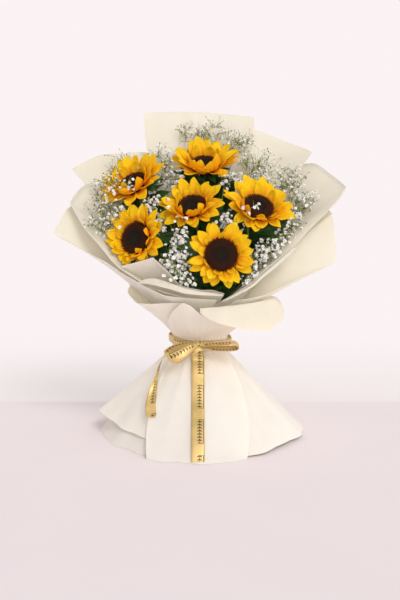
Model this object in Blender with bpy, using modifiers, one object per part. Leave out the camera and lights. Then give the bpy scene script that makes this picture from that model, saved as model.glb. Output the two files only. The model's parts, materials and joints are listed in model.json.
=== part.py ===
"""A hand-tied bouquet of six sunflowers and gypsophila in an ivory paper wrap with a gold ribbon.

Metres, +Z up. The origin is on the floor, straight under the tie, and the front faces -Y.
A place round the axis is given as azimuth in degrees, radius and height: azimuth 0 is the
front, 90 the right side, 180 the back and -90 the left side.
"""

import math
import random

import bmesh
import bpy
from mathutils import Matrix, Vector
from mathutils.bvhtree import BVHTree

# Driving dimensions
TIE_HEIGHT = 0.158
RIBBON_WIDTH = 0.022
BAND_TOP = TIE_HEIGHT + RIBBON_WIDTH / 2
BAND_FOOT = TIE_HEIGHT - RIBBON_WIDTH / 2
SHEET_THICKNESS = 0.0013
SHEET_STEP = 0.0039
FIRST_SHEET_RADIUS = 0.0262
PLEAT = 0.0009
BAND_RADIUS = 0.0524
RIBBON_THICKNESS = 0.0009

BLOOM_RADIUS = 0.053
DISC_RADIUS = 0.027
PETAL_RING_DEPTH = 0.0026
STEM_RADIUS = 0.0060
STEM_STEPS = 7
STEM_RING = 0.0121
SPRAY_STEM_RADIUS = 0.0019
SPRAY_RING = 0.0174
TWINE_INNER_RADIUS = 0.0202
TWINE_OUTER_RADIUS = 0.0244

FLORET_RADIUS = 0.0031
TWIG_RADIUS = 0.0006
CLEARANCE = 0.0012

# Sunflowers: centre of the face, the way it faces, and the azimuth of its stem at the tie.
# The centre bloom's stem runs in the middle of the bundle.
BLOOMS = {
    "top": ((0.008, 0.060, 0.455), (0.0, -0.45, 0.90), 170),
    "upper_left": ((-0.112, 0.018, 0.421), (-0.62, -0.30, 0.72), -118),
    "centre": ((-0.013, -0.020, 0.380), (-0.22, -0.62, 0.75), None),
    "right": ((0.094, -0.028, 0.380), (0.20, -0.66, 0.72), 98),
    "lower_left": ((-0.094, -0.055, 0.342), (-0.50, -0.80, 0.28), -46),
    "front": ((0.032, -0.084, 0.313), (0.02, -0.96, 0.28), 26),
}

# Leaves: the bloom whose stem bears it, how far up that stem it grows, and its tip.
LEAVES = (
    ("top", 0.66, (0.066, 0.012, 0.418)),
    ("top", 0.66, (-0.054, 0.014, 0.412)),
    ("upper_left", 0.72, (-0.132, -0.025, 0.352)),
    ("right", 0.72, (0.140, -0.018, 0.350)),
    ("right", 0.60, (0.090, -0.058, 0.318)),
    ("lower_left", 0.72, (-0.048, -0.078, 0.300)),
    ("front", 0.50, (0.060, -0.074, 0.262)),
)

# Gypsophila: azimuth of the stem at the tie, and the middle of the crown of florets.
SPRAYS = {
    "back_left": (-163, (-0.054, 0.088, 0.476)),
    "upper_left": (-145, (-0.125, 0.069, 0.447)),
    "left": (-91, (-0.152, -0.018, 0.366)),
    "centre_left": (-73, (-0.070, -0.008, 0.380)),
    "front_left": (-19, (-0.038, -0.090, 0.294)),
    "centre": (-1, (-0.012, -0.072, 0.320)),
    "front_right": (53, (0.084, -0.070, 0.306)),
    "right_low": (74, (0.130, -0.042, 0.340)),
    "right": (121.5, (0.156, 0.026, 0.404)),
    "back_right": (143, (0.070, 0.085, 0.470)),
}

# Sheets of the wrap, from the innermost layer out. Each rib runs up from the tie, and in some
# sheets down to the hem too: azimuth at the tie; azimuth, radius and height of the rim; and
# azimuth, radius and height of the hem. "belly" is where the rib bends, as shares of its run.
SHEETS = {
    "paper_front_inner": {
        "layer": 1,
        "belly": (0.20, 0.62),
        "ribs": (
            (-72, (-56, 0.122, 0.279)),
            (-59, (-46, 0.123, 0.294)),
            (-46, (-34, 0.121, 0.302)),
            (-34, (-26, 0.112, 0.284)),
            (-20, (-17, 0.105, 0.264)),
            (-2, (0, 0.098, 0.256)),
            (14, (12, 0.097, 0.255)),
            (30, (23, 0.099, 0.249)),
        ),
    },
    "paper_back_centre": {
        "layer": 0,
        "belly": (0.38, 0.58),
        "ribs": (
            (112, (144, 0.161, 0.529), (92, 0.146, 0.0)),
            (130, (154, 0.149, 0.532), (115, 0.148, 0.0)),
            (150, (165, 0.140, 0.535), (138, 0.156, 0.0)),
            (170, (175, 0.137, 0.537), (160, 0.172, 0.0)),
            (190, (185, 0.137, 0.538), (182, 0.1755, 0.0)),
            (210, (196, 0.142, 0.538), (204, 0.170, 0.0)),
            (230, (206, 0.150, 0.537), (228, 0.150, 0.0)),
            (248, (216.5, 0.162, 0.536), (255, 0.146, 0.0)),
        ),
    },
    "paper_back_right": {
        "layer": 1,
        "belly": (0.36, 0.60),
        "ribs": (
            (104, (117, 0.218, 0.468)),
            (118, (131, 0.193, 0.488)),
            (132, (145, 0.171, 0.5066)),
            (150, (158, 0.163, 0.504)),
            (168, (172, 0.156, 0.500)),
        ),
    },
    "paper_side_left": {
        "layer": 2,
        "belly": (0.28, 0.62),
        "ribs": (
            (-115, (-122, 0.119, 0.386), (-120, 0.160, 0.0)),
            (-103, (-112, 0.145, 0.400), (-108, 0.163, 0.0)),
            (-92, (-102, 0.190, 0.416), (-96, 0.166, 0.0)),
            (-80, (-90, 0.212, 0.386), (-86, 0.166, 0.0)),
            (-70, (-81, 0.189, 0.350), (-76, 0.164, 0.0)),
            (-60, (-73, 0.172, 0.328), (-66, 0.162, 0.0)),
            (-48, (-63, 0.153, 0.2965), (-56, 0.160, 0.0)),
            (-36, (-53, 0.136, 0.277), (-46, 0.160, 0.0)),
            (-24, (-41, 0.119, 0.259), (-36, 0.160, 0.0)),
            (-8, (-12, 0.099, 0.243), (-24, 0.160, 0.0)),
        ),
    },
    "paper_back_left": {
        "layer": 3,
        "belly": (0.36, 0.58),
        "ribs": (
            (-165, (-170, 0.150, 0.458)),
            (-148, (-155, 0.155, 0.464)),
            (-133, (-139, 0.160, 0.468)),
            (-120, (-126, 0.177, 0.466)),
            (-108, (-114.4, 0.195, 0.4615)),
            (-95, (-105.5, 0.226, 0.440)),
        ),
    },
    "paper_side_right": {
        "layer": 2,
        "belly": (0.32, 0.61),
        "ribs": (
            (0, (20.5, 0.100, 0.238), (28, 0.152, 0.0)),
            (15, (42, 0.115, 0.263), (36, 0.152, 0.0)),
            (29, (58, 0.132, 0.292), (45, 0.150, 0.0)),
            (40, (69, 0.154, 0.317), (54, 0.150, 0.0)),
            (51, (81, 0.1975, 0.363), (64, 0.152, 0.0)),
            (59, (88, 0.220, 0.388), (74, 0.158, 0.0)),
            (68, (95, 0.241, 0.411), (84, 0.163, 0.0)),
            (80, (106, 0.235, 0.430), (96, 0.163, 0.0)),
            (93, (117, 0.224, 0.448), (108, 0.163, 0.0)),
            (106, (128, 0.212, 0.446), (120, 0.165, 0.0)),
            (120, (140, 0.198, 0.440), (132, 0.168, 0.0)),
        ),
    },
    "paper_outer_left": {
        "layer": 4,
        "belly": (0.34, 0.58),
        "ribs": (
            (-120, (-125, 0.180, 0.380), (-125, 0.158, 0.026)),
            (-106, (-108, 0.205, 0.385), (-108, 0.164, 0.030)),
            (-93, (-93, 0.220, 0.375), (-92, 0.170, 0.0335)),
            (-84, (-88, 0.231, 0.355), (-80, 0.160, 0.032)),
            (-76, (-85, 0.240, 0.338), (-71, 0.151, 0.031)),
            (-66, (-78, 0.193, 0.312), (-62, 0.146, 0.031)),
            (-54, (-68, 0.161, 0.295), (-53, 0.144, 0.031)),
            (-40, (-54, 0.139, 0.274), (-44, 0.143, 0.032)),
            (-27, (-39, 0.123, 0.257), (-37, 0.142, 0.033)),
            (-14, (-28.6, 0.113, 0.247), (-31, 0.141, 0.033)),
            (0, (-6, 0.102, 0.243), (-25, 0.140, 0.033)),
            (13, (15, 0.1025, 0.240), (-18, 0.138, 0.033)),
        ),
    },
    "paper_outer_right": {
        "layer": 3,
        "belly": (0.35, 0.59),
        "ribs": (
            (17, (32, 0.106, 0.238), (20, 0.163, 0.0)),
            (35, (56, 0.126, 0.244), (34, 0.166, 0.004)),
            (48, (74, 0.1675, 0.268), (48, 0.165, 0.010)),
            (58, (86, 0.224, 0.290), (60, 0.166, 0.012)),
            (66, (90, 0.223, 0.330), (72, 0.170, 0.008)),
            (74, (93, 0.217, 0.367), (84, 0.175, 0.002)),
            (88, (110, 0.212, 0.385), (98, 0.176, 0.0)),
            (102, (125, 0.200, 0.392), (112, 0.174, 0.0)),
        ),
    },
    "paper_collar_left": {
        "layer": 5,
        "belly": (0.40, 0.52),
        "ribs": (
            (-108, (-108, 0.112, 0.250)),
            (-92, (-92, 0.115, 0.253)),
            (-80, (-80, 0.118, 0.252)),
            (-72, (-74, 0.123, 0.244)),
            (-60, (-59, 0.119, 0.230)),
            (-47, (-45, 0.114, 0.231)),
            (-33, (-27, 0.103, 0.234)),
            (-22, (-14, 0.100, 0.235)),
        ),
    },
    "paper_collar_right": {
        "layer": 5,
        "belly": (0.44, 0.52),
        "ribs": (
            (2, (0, 0.1055, 0.227)),
            (14, (12, 0.1085, 0.229)),
            (26, (25, 0.111, 0.231)),
            (38, (40, 0.1125, 0.232)),
            (50, (55, 0.114, 0.232)),
            (64, (72, 0.1185, 0.232)),
            (80, (88, 0.1165, 0.230)),
            (98, (105, 0.113, 0.227)),
        ),
        "lip": (
            (0, 0.112, 0.222),
            (9, 0.121, 0.211),
            (21, 0.127, 0.202),
            (38, 0.128, 0.193),
            (55, 0.132, 0.187),
            (73, 0.141, 0.200),
            (86, 0.138, 0.212),
            (105, 0.121, 0.221),
        ),
    },
    "paper_front_panel": {
        "layer": 6,
        "belly": (0.50, 0.46),
        "ribs": (
            (-58, (-14, 0.110, 0.237), (-28, 0.175, 0.0)),
            (-40, (-8, 0.108, 0.232), (-19, 0.1755, 0.0)),
            (-20, (-1, 0.102, 0.220), (-9, 0.176, 0.0)),
            (0, (8, 0.099, 0.211), (0, 0.176, 0.0)),
            (20, (20, 0.095, 0.203), (9, 0.176, 0.0)),
            (40, (33, 0.089, 0.196), (18, 0.175, 0.0)),
            (56, (45, 0.083, 0.189), (25, 0.174, 0.0)),
        ),
    },
}

ROWS_UP = 5
ROWS_DOWN = 3

YELLOW = (0.93, 0.50, 0.02)
DARK_BROWN = (0.045, 0.017, 0.008)
LEAF_GREEN = (0.09, 0.20, 0.04)
PALE_GREEN = (0.62, 0.70, 0.52)
IVORY = (0.86, 0.82, 0.68)
GOLD = (0.80, 0.56, 0.16)
TWINE_BROWN = (0.45, 0.32, 0.18)


def clear_scene():
    for obj in list(bpy.data.objects):
        bpy.data.objects.remove(obj)


def new_collection(name):
    collection = bpy.data.collections.new(name)
    bpy.context.scene.collection.children.link(collection)
    return collection


def new_material(name, colour, roughness, metallic=0.0):
    material = bpy.data.materials.new(name)
    material.use_nodes = True
    shader = material.node_tree.nodes["Principled BSDF"]
    shader.inputs["Base Color"].default_value = (*colour, 1.0)
    shader.inputs["Roughness"].default_value = roughness
    shader.inputs["Metallic"].default_value = metallic
    return material


def polar(azimuth, radius, height):
    angle = math.radians(azimuth)
    return Vector((radius * math.sin(angle), -radius * math.cos(angle), height))


def link_mesh(name, mesh, collection, material=None):
    obj = bpy.data.objects.new(name, mesh)
    collection.objects.link(obj)
    if material:
        mesh.materials.append(material)
    return obj


def evaluated_mesh(obj):
    """The object's mesh with its modifiers or its bevel worked out, caps welded."""
    bpy.context.view_layer.update()
    graph = bpy.context.evaluated_depsgraph_get()
    mesh = bpy.data.meshes.new_from_object(obj.evaluated_get(graph))
    bm = bmesh.new()
    bm.from_mesh(mesh)
    bmesh.ops.remove_doubles(bm, verts=bm.verts, dist=0.00001)
    bmesh.ops.recalc_face_normals(bm, faces=bm.faces)
    bm.to_mesh(mesh)
    bm.free()
    return mesh


def drop_scraps(mesh):
    """Keeps the largest body, without the crumbs that a union leaves where two edges cross."""
    bm = bmesh.new()
    bm.from_mesh(mesh)
    bodies = []
    seen = set()
    for face in bm.faces:
        if face in seen:
            continue
        group = {face}
        front = [face]
        while front:
            for edge in front.pop().edges:
                for other in edge.link_faces:
                    if other not in group:
                        group.add(other)
                        front.append(other)
        seen |= group
        bodies.append(group)
    bodies.sort(key=len)
    for scrap in bodies[:-1]:
        bmesh.ops.delete(bm, geom=list(scrap), context="FACES")
    bm.to_mesh(mesh)
    bm.free()


def apply_modifiers(obj):
    mesh = evaluated_mesh(obj)
    obj.modifiers.clear()
    obj.data = mesh
    return obj


def open_sheet(name, grid, collection):
    """An open surface through a grid of points, split into triangles."""
    bm = bmesh.new()
    rows = [[bm.verts.new(point) for point in row] for row in grid]
    for lower, upper in zip(rows, rows[1:]):
        if len(upper) == 1:
            for a, b in zip(lower, lower[1:]):
                bm.faces.new((a, b, upper[0]))
            continue
        if len(lower) == 2 and len(upper) == 3:
            bm.faces.new((lower[0], lower[1], upper[1]))
            bm.faces.new((lower[0], upper[1], upper[0]))
            bm.faces.new((lower[1], upper[2], upper[1]))
            continue
        for i in range(len(lower) - 1):
            bm.faces.new((lower[i], lower[i + 1], upper[i + 1]))
            bm.faces.new((lower[i], upper[i + 1], upper[i]))
    mesh = bpy.data.meshes.new(name)
    bm.to_mesh(mesh)
    bm.free()
    return link_mesh(name, mesh, collection)


def blade(name, grid, thickness, collection):
    """A thin closed solid round an open surface, the surface in its middle."""
    obj = open_sheet(name, grid, collection)
    solidify = obj.modifiers.new("thickness", "SOLIDIFY")
    solidify.thickness = thickness
    solidify.offset = 0.0
    return apply_modifiers(obj)


def tube(name, points, radii, collection, bevel_resolution=2):
    """A round stem of changing radius along the points, with filled ends."""
    curve = bpy.data.curves.new(name, "CURVE")
    curve.dimensions = "3D"
    curve.bevel_depth = 1.0
    curve.bevel_resolution = bevel_resolution
    curve.use_fill_caps = True
    spline = curve.splines.new("POLY")
    spline.points.add(len(points) - 1)
    for spline_point, point, radius in zip(spline.points, points, radii):
        spline_point.co = (*point, 1.0)
        spline_point.radius = radius
    guide = bpy.data.objects.new(name + "_guide", curve)
    collection.objects.link(guide)
    mesh = evaluated_mesh(guide)
    bpy.data.objects.remove(guide)
    return link_mesh(name, mesh, collection)


def prism(name, start, end, radius_start, radius_end, sides, collection):
    """A straight twig between two points."""
    axis = Vector(end) - Vector(start)
    bm = bmesh.new()
    bmesh.ops.create_cone(
        bm,
        cap_ends=True,
        segments=sides,
        radius1=radius_start,
        radius2=radius_end,
        depth=axis.length,
        matrix=Matrix.Translation((Vector(start) + Vector(end)) / 2)
        @ axis.to_track_quat("Z", "Y").to_matrix().to_4x4(),
    )
    mesh = bpy.data.meshes.new(name)
    bm.to_mesh(mesh)
    bm.free()
    return link_mesh(name, mesh, collection)


def fuse(base, pieces):
    """Joins the pieces to the base in one Boolean union, and removes them."""
    repeats = new_collection(base.name + "_repeats")
    for piece in pieces:
        for owner in list(piece.users_collection):
            owner.objects.unlink(piece)
        repeats.objects.link(piece)
    union = base.modifiers.new("union", "BOOLEAN")
    union.operation = "UNION"
    union.operand_type = "COLLECTION"
    union.collection = repeats
    union.solver = "EXACT"
    apply_modifiers(base)
    drop_scraps(base.data)
    for piece in pieces:
        bpy.data.objects.remove(piece)
    bpy.data.collections.remove(repeats)
    return base


def finish(obj, material):
    obj.data.materials.clear()
    obj.data.materials.append(material)
    obj.data.shade_smooth()
    obj.data.set_sharp_from_angle(angle=math.radians(50))
    return obj


def smooth_path(points, steps):
    """A smooth curve through the points, with the given number of steps in each span."""
    points = [Vector(p) for p in points]
    ends = [2 * points[0] - points[1], *points, 2 * points[-1] - points[-2]]
    path = []
    for a, b, c, d in zip(ends, ends[1:], ends[2:], ends[3:]):
        for i in range(steps):
            t = i / steps
            path.append(
                0.5
                * (
                    2 * b
                    + (c - a) * t
                    + (2 * a - 5 * b + 4 * c - d) * t**2
                    + (3 * b - a - 3 * c + d) * t**3
                )
            )
    path.append(points[-1])
    return path


def bend(start, middle, end, t):
    return [
        (1 - t) ** 2 * a + 2 * t * (1 - t) * b + t**2 * c
        for a, b, c in zip(start, middle, end)
    ]


def rib_points(rib, lip, radius, belly):
    """One rib of a sheet, from its hem or from the foot of the tie up to its rim."""
    tie_azimuth, rim = rib[:2]
    points = []
    if len(rib) > 2:
        foot = (tie_azimuth, radius, BAND_FOOT)
        middle = [(a + b) / 2 for a, b in zip(foot, rib[2])]
        for i in range(ROWS_DOWN):
            points.append(polar(*bend(rib[2], middle, foot, i / ROWS_DOWN)))
    points.append(polar(tie_azimuth, radius, BAND_FOOT))
    start = (tie_azimuth, radius, BAND_TOP)
    middle = (
        tie_azimuth + 0.35 * (rim[0] - tie_azimuth),
        radius + belly[0] * (rim[1] - radius),
        BAND_TOP + belly[1] * (rim[2] - BAND_TOP),
    )
    for i in range(ROWS_UP + 1):
        points.append(polar(*bend(start, middle, rim, i / ROWS_UP)))
    if lip:
        crest = [(a + b) / 2 for a, b in zip(rim, lip)]
        points.append(polar(crest[0], crest[1], max(rim[2], lip[2]) - 0.002))
        points.append(polar(*lip))
    return points


def make_sheet(name, spec, parts, paper):
    """One sheet of the wrap; a hem that reaches the floor is cut flat to stand on it."""
    lips = spec.get("lip", (None,) * len(spec["ribs"]))
    radius = FIRST_SHEET_RADIUS + SHEET_STEP * spec["layer"]
    columns = []
    for i, (rib, lip) in enumerate(zip(spec["ribs"], lips)):
        pleat = PLEAT if i % 2 else -PLEAT
        columns.append(rib_points(rib, lip, radius + pleat, spec["belly"]))
    sheet = blade(name, columns, SHEET_THICKNESS, parts)
    for vertex in sheet.data.vertices:
        if vertex.co.z < SHEET_THICKNESS:
            vertex.co.z = 0.0
    return finish(sheet, paper)


def bloom_frame(centre, facing):
    """The bloom's own frame: its face looks along local Z."""
    turn = Vector(facing).to_track_quat("Z", "Y").to_matrix().to_4x4()
    return Matrix.Translation(centre) @ turn


def petal_grid(frame, azimuth, reach, width, root_height, lift, droop):
    """Cross rows from the root, sunk in the ring under the disc, out to the pointed tip."""
    rows = (
        (0.0255, 0.36, 0.0),
        (0.035, 0.90, 0.38),
        (0.0455, 0.92, 1.0),
        (reach, 0.0, 1.0),
    )
    turn = Matrix.Rotation(math.radians(azimuth), 4, "Z")
    grid = []
    for radius, share, rise in rows:
        height = root_height + lift * rise - (droop if share == 0.0 else 0.0)
        half = 0.5 * width * share
        offsets = (-half, 0.0, half) if share > 0.5 else (-half, half) if share else (0.0,)
        row = []
        for offset in offsets:
            cup = 0.0012 * share if offset else 0.0
            row.append(frame @ turn @ Vector((radius, offset, height + cup)))
        grid.append(row)
    return grid


def make_petals(name, frame, rng, parts, yellow):
    """Two layers of petals fused to the thin ring that bears them."""
    bm = bmesh.new()
    bmesh.ops.create_cone(
        bm,
        cap_ends=True,
        segments=16,
        radius1=0.0285,
        radius2=0.0285,
        depth=PETAL_RING_DEPTH,
        matrix=frame,
    )
    mesh = bpy.data.meshes.new(name)
    bm.to_mesh(mesh)
    bm.free()
    base = link_mesh(name, mesh, parts)
    pieces = []
    for layer, count in enumerate((9, 8)):
        for i in range(count):
            azimuth = (i + 0.5 * layer) * 360 / count + rng.uniform(-4, 4)
            reach = BLOOM_RADIUS - 0.003 * layer - rng.uniform(0.0, 0.004)
            width = rng.uniform(0.0168, 0.0188)
            root = (-0.0007, 0.0006)[layer]
            lift = (0.0020, 0.0090)[layer] + rng.uniform(-0.0006, 0.001)
            droop = (0.003, 0.0005)[layer]
            grid = petal_grid(frame, azimuth, reach, width, root, lift, droop)
            pieces.append(blade(f"{name}_{layer}_{i}", grid, 0.0009, parts))
    return finish(fuse(base, pieces), yellow)


def make_disc(name, frame, parts, brown):
    """The dark disc: a low dome whose rows of florets stand in relief, hollowed in the middle."""
    segments = 16
    rings = 4
    underside = PETAL_RING_DEPTH / 2 + 0.0008
    bm = bmesh.new()
    foot = []
    loops = []
    for ring in range(rings + 1):
        share = 1 - ring / (rings + 0.6)
        radius = DISC_RADIUS * share
        dome = 0.0052 - 0.0035 * (share - 0.72) ** 2 / 0.5
        loop = []
        for i in range(segments):
            angle = 2 * math.pi * (i + 0.5 * (ring % 2)) / segments
            bump = 0.0008 * ((i + ring // 2) % 2) if ring else -0.0012
            flat = (radius * math.cos(angle), radius * math.sin(angle))
            loop.append(bm.verts.new(frame @ Vector((*flat, underside + dome + bump))))
            if ring == 0:
                foot.append(bm.verts.new(frame @ Vector((*flat, underside))))
        loops.append(loop)
    for lower, upper in zip([foot] + loops, loops):
        for i in range(segments):
            j = (i + 1) % segments
            bm.faces.new((lower[i], lower[j], upper[j]))
            bm.faces.new((lower[i], upper[j], upper[i]))
    bm.faces.new(loops[-1])
    bm.faces.new(foot)
    bmesh.ops.triangulate(bm, faces=[f for f in bm.faces if len(f.verts) > 4])
    bmesh.ops.recalc_face_normals(bm, faces=bm.faces)
    mesh = bpy.data.meshes.new(name)
    bm.to_mesh(mesh)
    bm.free()
    return finish(link_mesh(name, mesh, parts), brown)


def swept(start, leaving, tie, above, steps):
    """A smooth sweep from start, first along "leaving", that comes into the tie from "above"."""
    run = (start - tie).length
    first = start + leaving * (0.22 * run)
    last = tie + above * run
    path = []
    for i in range(steps + 1):
        t = i / steps
        path.append(
            (1 - t) ** 3 * start
            + 3 * t * (1 - t) ** 2 * first
            + 3 * t**2 * (1 - t) * last
            + t**3 * tie
        )
    return path


def below_tie(azimuth, ring, foot_ring, radius):
    """The stem's last two points: the foot of the tie, and the cut end standing on the floor."""
    slant = (foot_ring - ring) / BAND_FOOT
    return [
        polar(azimuth, ring, BAND_FOOT),
        polar(azimuth, foot_ring, radius * slant / math.hypot(1, slant)),
    ]


def stem_path(frame, tie_azimuth):
    """From the back of the bloom down through the tie to the cut end on the floor."""
    ring = STEM_RING if tie_azimuth is not None else 0.0
    azimuth = tie_azimuth or 0
    top = frame @ Vector((0, 0, -0.012))
    leaving = -(frame.to_3x3() @ Vector((0, 0, 1)))
    above = Vector((0, 0, 0.42))
    path = swept(top, leaving, polar(azimuth, ring, BAND_TOP), above, STEM_STEPS)
    return path + below_tie(azimuth, ring, 0.045 if ring else 0.0, STEM_RADIUS)


def leaf_grid(root, tip):
    """A pointed oval leaf with toothed edges, arched along its midrib."""
    along = tip - root
    outward = Vector((root.x + tip.x, root.y + tip.y, 0.06)).normalized()
    side = along.cross(outward).normalized()
    face = side.cross(along).normalized()
    half_width = 0.30 * along.length
    rows = (
        (0.00, 0.07),
        (0.16, 0.16),
        (0.30, 0.92),
        (0.42, 0.80),
        (0.56, 0.86),
        (0.68, 0.58),
        (0.82, 0.50),
        (1.00, 0.00),
    )
    grid = []
    for share, width in rows:
        middle = root + along * share + face * 0.10 * along.length * math.sin(math.pi * share)
        if not width:
            grid.append([middle])
            continue
        fold = face * 0.16 * width * half_width
        reach = side * width * half_width
        grid.append([middle - reach + fold, middle, middle + reach + fold])
    return grid


def make_stem(key, frame, tie_azimuth, parts, green):
    """The green piece of a sunflower: stem, cup of bracts behind the face, and its leaves."""
    path = stem_path(frame, tie_azimuth)
    radii = [STEM_RADIUS * min(1.0, 0.70 + 0.06 * i) for i in range(len(path))]
    name = f"sunflower_{key}_stem"
    base = tube(name, path, radii, parts, bevel_resolution=1)
    cup_top = frame @ Vector((0, 0, -PETAL_RING_DEPTH / 2 - 0.0004))
    cup_foot = frame @ Vector((0, 0, -0.018))
    pieces = [prism(name + "_cup", cup_foot, cup_top, 0.007, 0.025, 10, parts)]
    for i in range(7):
        turn = Matrix.Rotation(math.radians(i * 360 / 7 + 8), 4, "Z")
        rows = ((0.018, 0.007, -0.0056), (0.030, 0.006, -0.0066), (0.042, 0.0, -0.0095))
        grid = [
            [frame @ turn @ Vector((r, s * half, z)) for s in ((-1, 1) if half else (0,))]
            for r, half, z in rows
        ]
        pieces.append(blade(f"{name}_bract_{i}", grid, 0.0010, parts))
    for owner, share, tip in LEAVES:
        if owner != key:
            continue
        root = path[round((1 - share) * STEM_STEPS)]
        pieces.append(blade(name + "_leaf", leaf_grid(root, Vector(tip)), 0.0010, parts))
    return finish(fuse(base, pieces), green)


def tree_of(obj):
    graph = bpy.context.evaluated_depsgraph_get()
    return BVHTree.FromObject(obj, graph)


def clear_of(point, trees, distance):
    """Whether a point lies outside every solid, by at least the distance."""
    for tree in trees:
        place, normal, _, gap = tree.find_nearest(point, 0.03)
        if place is not None and (gap < distance or (point - place).dot(normal) < 0):
            return False
    return True


def twig_clear(start, end, trees):
    """Whether a twig from start to end, with a floret on its end, is clear of all other solids."""
    if not clear_of(end, trees, FLORET_RADIUS + CLEARANCE):
        return False
    samples = 8
    reach = TWIG_RADIUS + CLEARANCE
    return all(clear_of(start.lerp(end, i / samples), trees, reach) for i in range(samples))


def clear_route(crown, tie, tie_azimuth, trees):
    """The sweep from the crown to the tie that passes nearest to none of the other solids."""
    leaving = Vector((-crown.x * 2, -crown.y * 2, -crown.z)).normalized()
    best = None
    for outward in (0.035, 0.020, 0.050, 0.005, 0.065):
        for aside in (0.0, 0.020, -0.020, 0.040, -0.040, 0.060, -0.060):
            above = polar(tie_azimuth, outward, 0.30) + polar(tie_azimuth + 90, aside, 0.0)
            path = swept(crown, leaving, tie, above, STEM_STEPS)
            places = [a.lerp(b, i / 8) for a, b in zip(path, path[1:]) for i in range(8)]
            high = [p for p in places if p.z > BAND_TOP + 0.03]
            reach = SPRAY_STEM_RADIUS + CLEARANCE / 2
            blocked = sum(not clear_of(p, trees, reach) for p in high)
            if best is None or blocked < best[0]:
                best = (blocked, path)
    return best[1]


def floret(name, centre, axis, collection):
    """A small double flower as a faceted bud, flat across its face."""
    bm = bmesh.new()
    frame = Matrix.Translation(centre) @ axis.to_track_quat("Z", "Y").to_matrix().to_4x4()
    flatten = Matrix.Diagonal((1.0, 1.0, 0.75, 1.0))
    bmesh.ops.create_uvsphere(
        bm, u_segments=5, v_segments=2, radius=FLORET_RADIUS, matrix=frame @ flatten
    )
    mesh = bpy.data.meshes.new(name)
    bm.to_mesh(mesh)
    bm.free()
    return link_mesh(name, mesh, collection)


def make_spray(key, tie_azimuth, crown, trees, rng, parts, material):
    """One spray of gypsophila: a stem that forks into twigs, each with its floret."""
    name = f"gypsophila_{key}"
    crown = Vector(crown)
    tie = polar(tie_azimuth, SPRAY_RING, BAND_TOP)
    path = clear_route(crown, tie, tie_azimuth, trees)
    path += below_tie(tie_azimuth, SPRAY_RING, 0.056, SPRAY_STEM_RADIUS)
    radii = [SPRAY_STEM_RADIUS * min(1.0, 0.55 + 0.08 * i) for i in range(len(path))]
    base = tube(name, path, radii, parts, bevel_resolution=0)
    pieces = []
    wanted = 5
    tries = 0
    while len(pieces) < 4 * wanted and tries < 160:
        tries += 1
        place = 2.4 * rng.random() ** 1.5
        root = path[int(place)].lerp(path[int(place) + 1], place % 1)
        direction = Vector((rng.gauss(0, 1), rng.gauss(0, 1), rng.gauss(0.35, 0.8))).normalized()
        tip = root + direction * rng.uniform(0.022, 0.046)
        if not twig_clear(root.lerp(tip, 0.12), tip, trees):
            continue
        side = Vector((rng.gauss(0, 1), rng.gauss(0, 1), rng.gauss(0.3, 0.8))).normalized()
        fork = root.lerp(tip, 0.55)
        side_tip = fork + (direction * 0.5 + side).normalized() * rng.uniform(0.010, 0.016)
        own_gap = min(((side_tip - tip).length, (side_tip - root).length))
        if own_gap < 0.008 or not twig_clear(fork, side_tip, trees):
            continue
        label = f"{name}_{tries}"
        pieces.append(prism(label + "_twig", root, tip, 0.0008, 0.0006, 3, parts))
        pieces.append(floret(label + "_floret", tip, direction, parts))
        pieces.append(prism(label + "_side", fork, side_tip, 0.0006, 0.0005, 3, parts))
        pieces.append(floret(label + "_bud", side_tip, side, parts))
    pieces.append(floret(name + "_crown", path[0], path[0] - path[1], parts))
    return finish(fuse(base, pieces), material)


def make_ring(name, profile, steps, parts, material):
    """A ring turned from a closed profile of radius and height, listed down its outer side."""
    bm = bmesh.new()
    points = [bm.verts.new((radius, 0.0, height)) for radius, height in profile]
    for a, b in zip(points, points[1:] + points[:1]):
        bm.edges.new((a, b))
    mesh = bpy.data.meshes.new(name)
    bm.to_mesh(mesh)
    bm.free()
    obj = link_mesh(name, mesh, parts)
    screw = obj.modifiers.new("turn", "SCREW")
    screw.steps = steps
    screw.render_steps = steps
    screw.use_merge_vertices = True
    screw.merge_threshold = 0.0001
    return finish(apply_modifiers(obj), material)


def make_twine(parts, material):
    """The binding twine, three turns lying on each other round all the stems."""
    profile = []
    pitch = 0.003
    foot = TIE_HEIGHT - 1.5 * pitch
    for turn in (2, 1, 0):
        profile.append((TWINE_OUTER_RADIUS, foot + (turn + 0.72) * pitch))
        profile.append((TWINE_OUTER_RADIUS, foot + (turn + 0.28) * pitch))
        if turn:
            profile.append((TWINE_OUTER_RADIUS - 0.0008, foot + turn * pitch))
    profile.append((TWINE_INNER_RADIUS, foot + 0.28 * pitch))
    profile.append((TWINE_INNER_RADIUS, foot + 2.72 * pitch))
    return make_ring("stem_twine", profile, 12, parts, material)


def ribbon_strip(name, path, across, collection):
    """A strip of ribbon whose middle follows the path; across gives its width at each point."""
    grid = [[p - w / 2, p + w / 2] for p, w in zip(path, across)]
    return blade(name, grid, RIBBON_THICKNESS, collection)


def make_band(parts, material):
    inner = BAND_RADIUS - RIBBON_THICKNESS / 2
    outer = BAND_RADIUS + RIBBON_THICKNESS / 2
    profile = ((outer, BAND_TOP), (outer, BAND_FOOT), (inner, BAND_FOOT), (inner, BAND_TOP))
    return make_ring("ribbon_band", profile, 24, parts, material)


def panel_radius(height):
    """Radius of the front panel's outer face below the tie."""
    top = FIRST_SHEET_RADIUS + SHEET_STEP * 6 + PLEAT + SHEET_THICKNESS / 2
    return top + (BAND_FOOT - height) * (0.1767 - top) / BAND_FOOT


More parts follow.
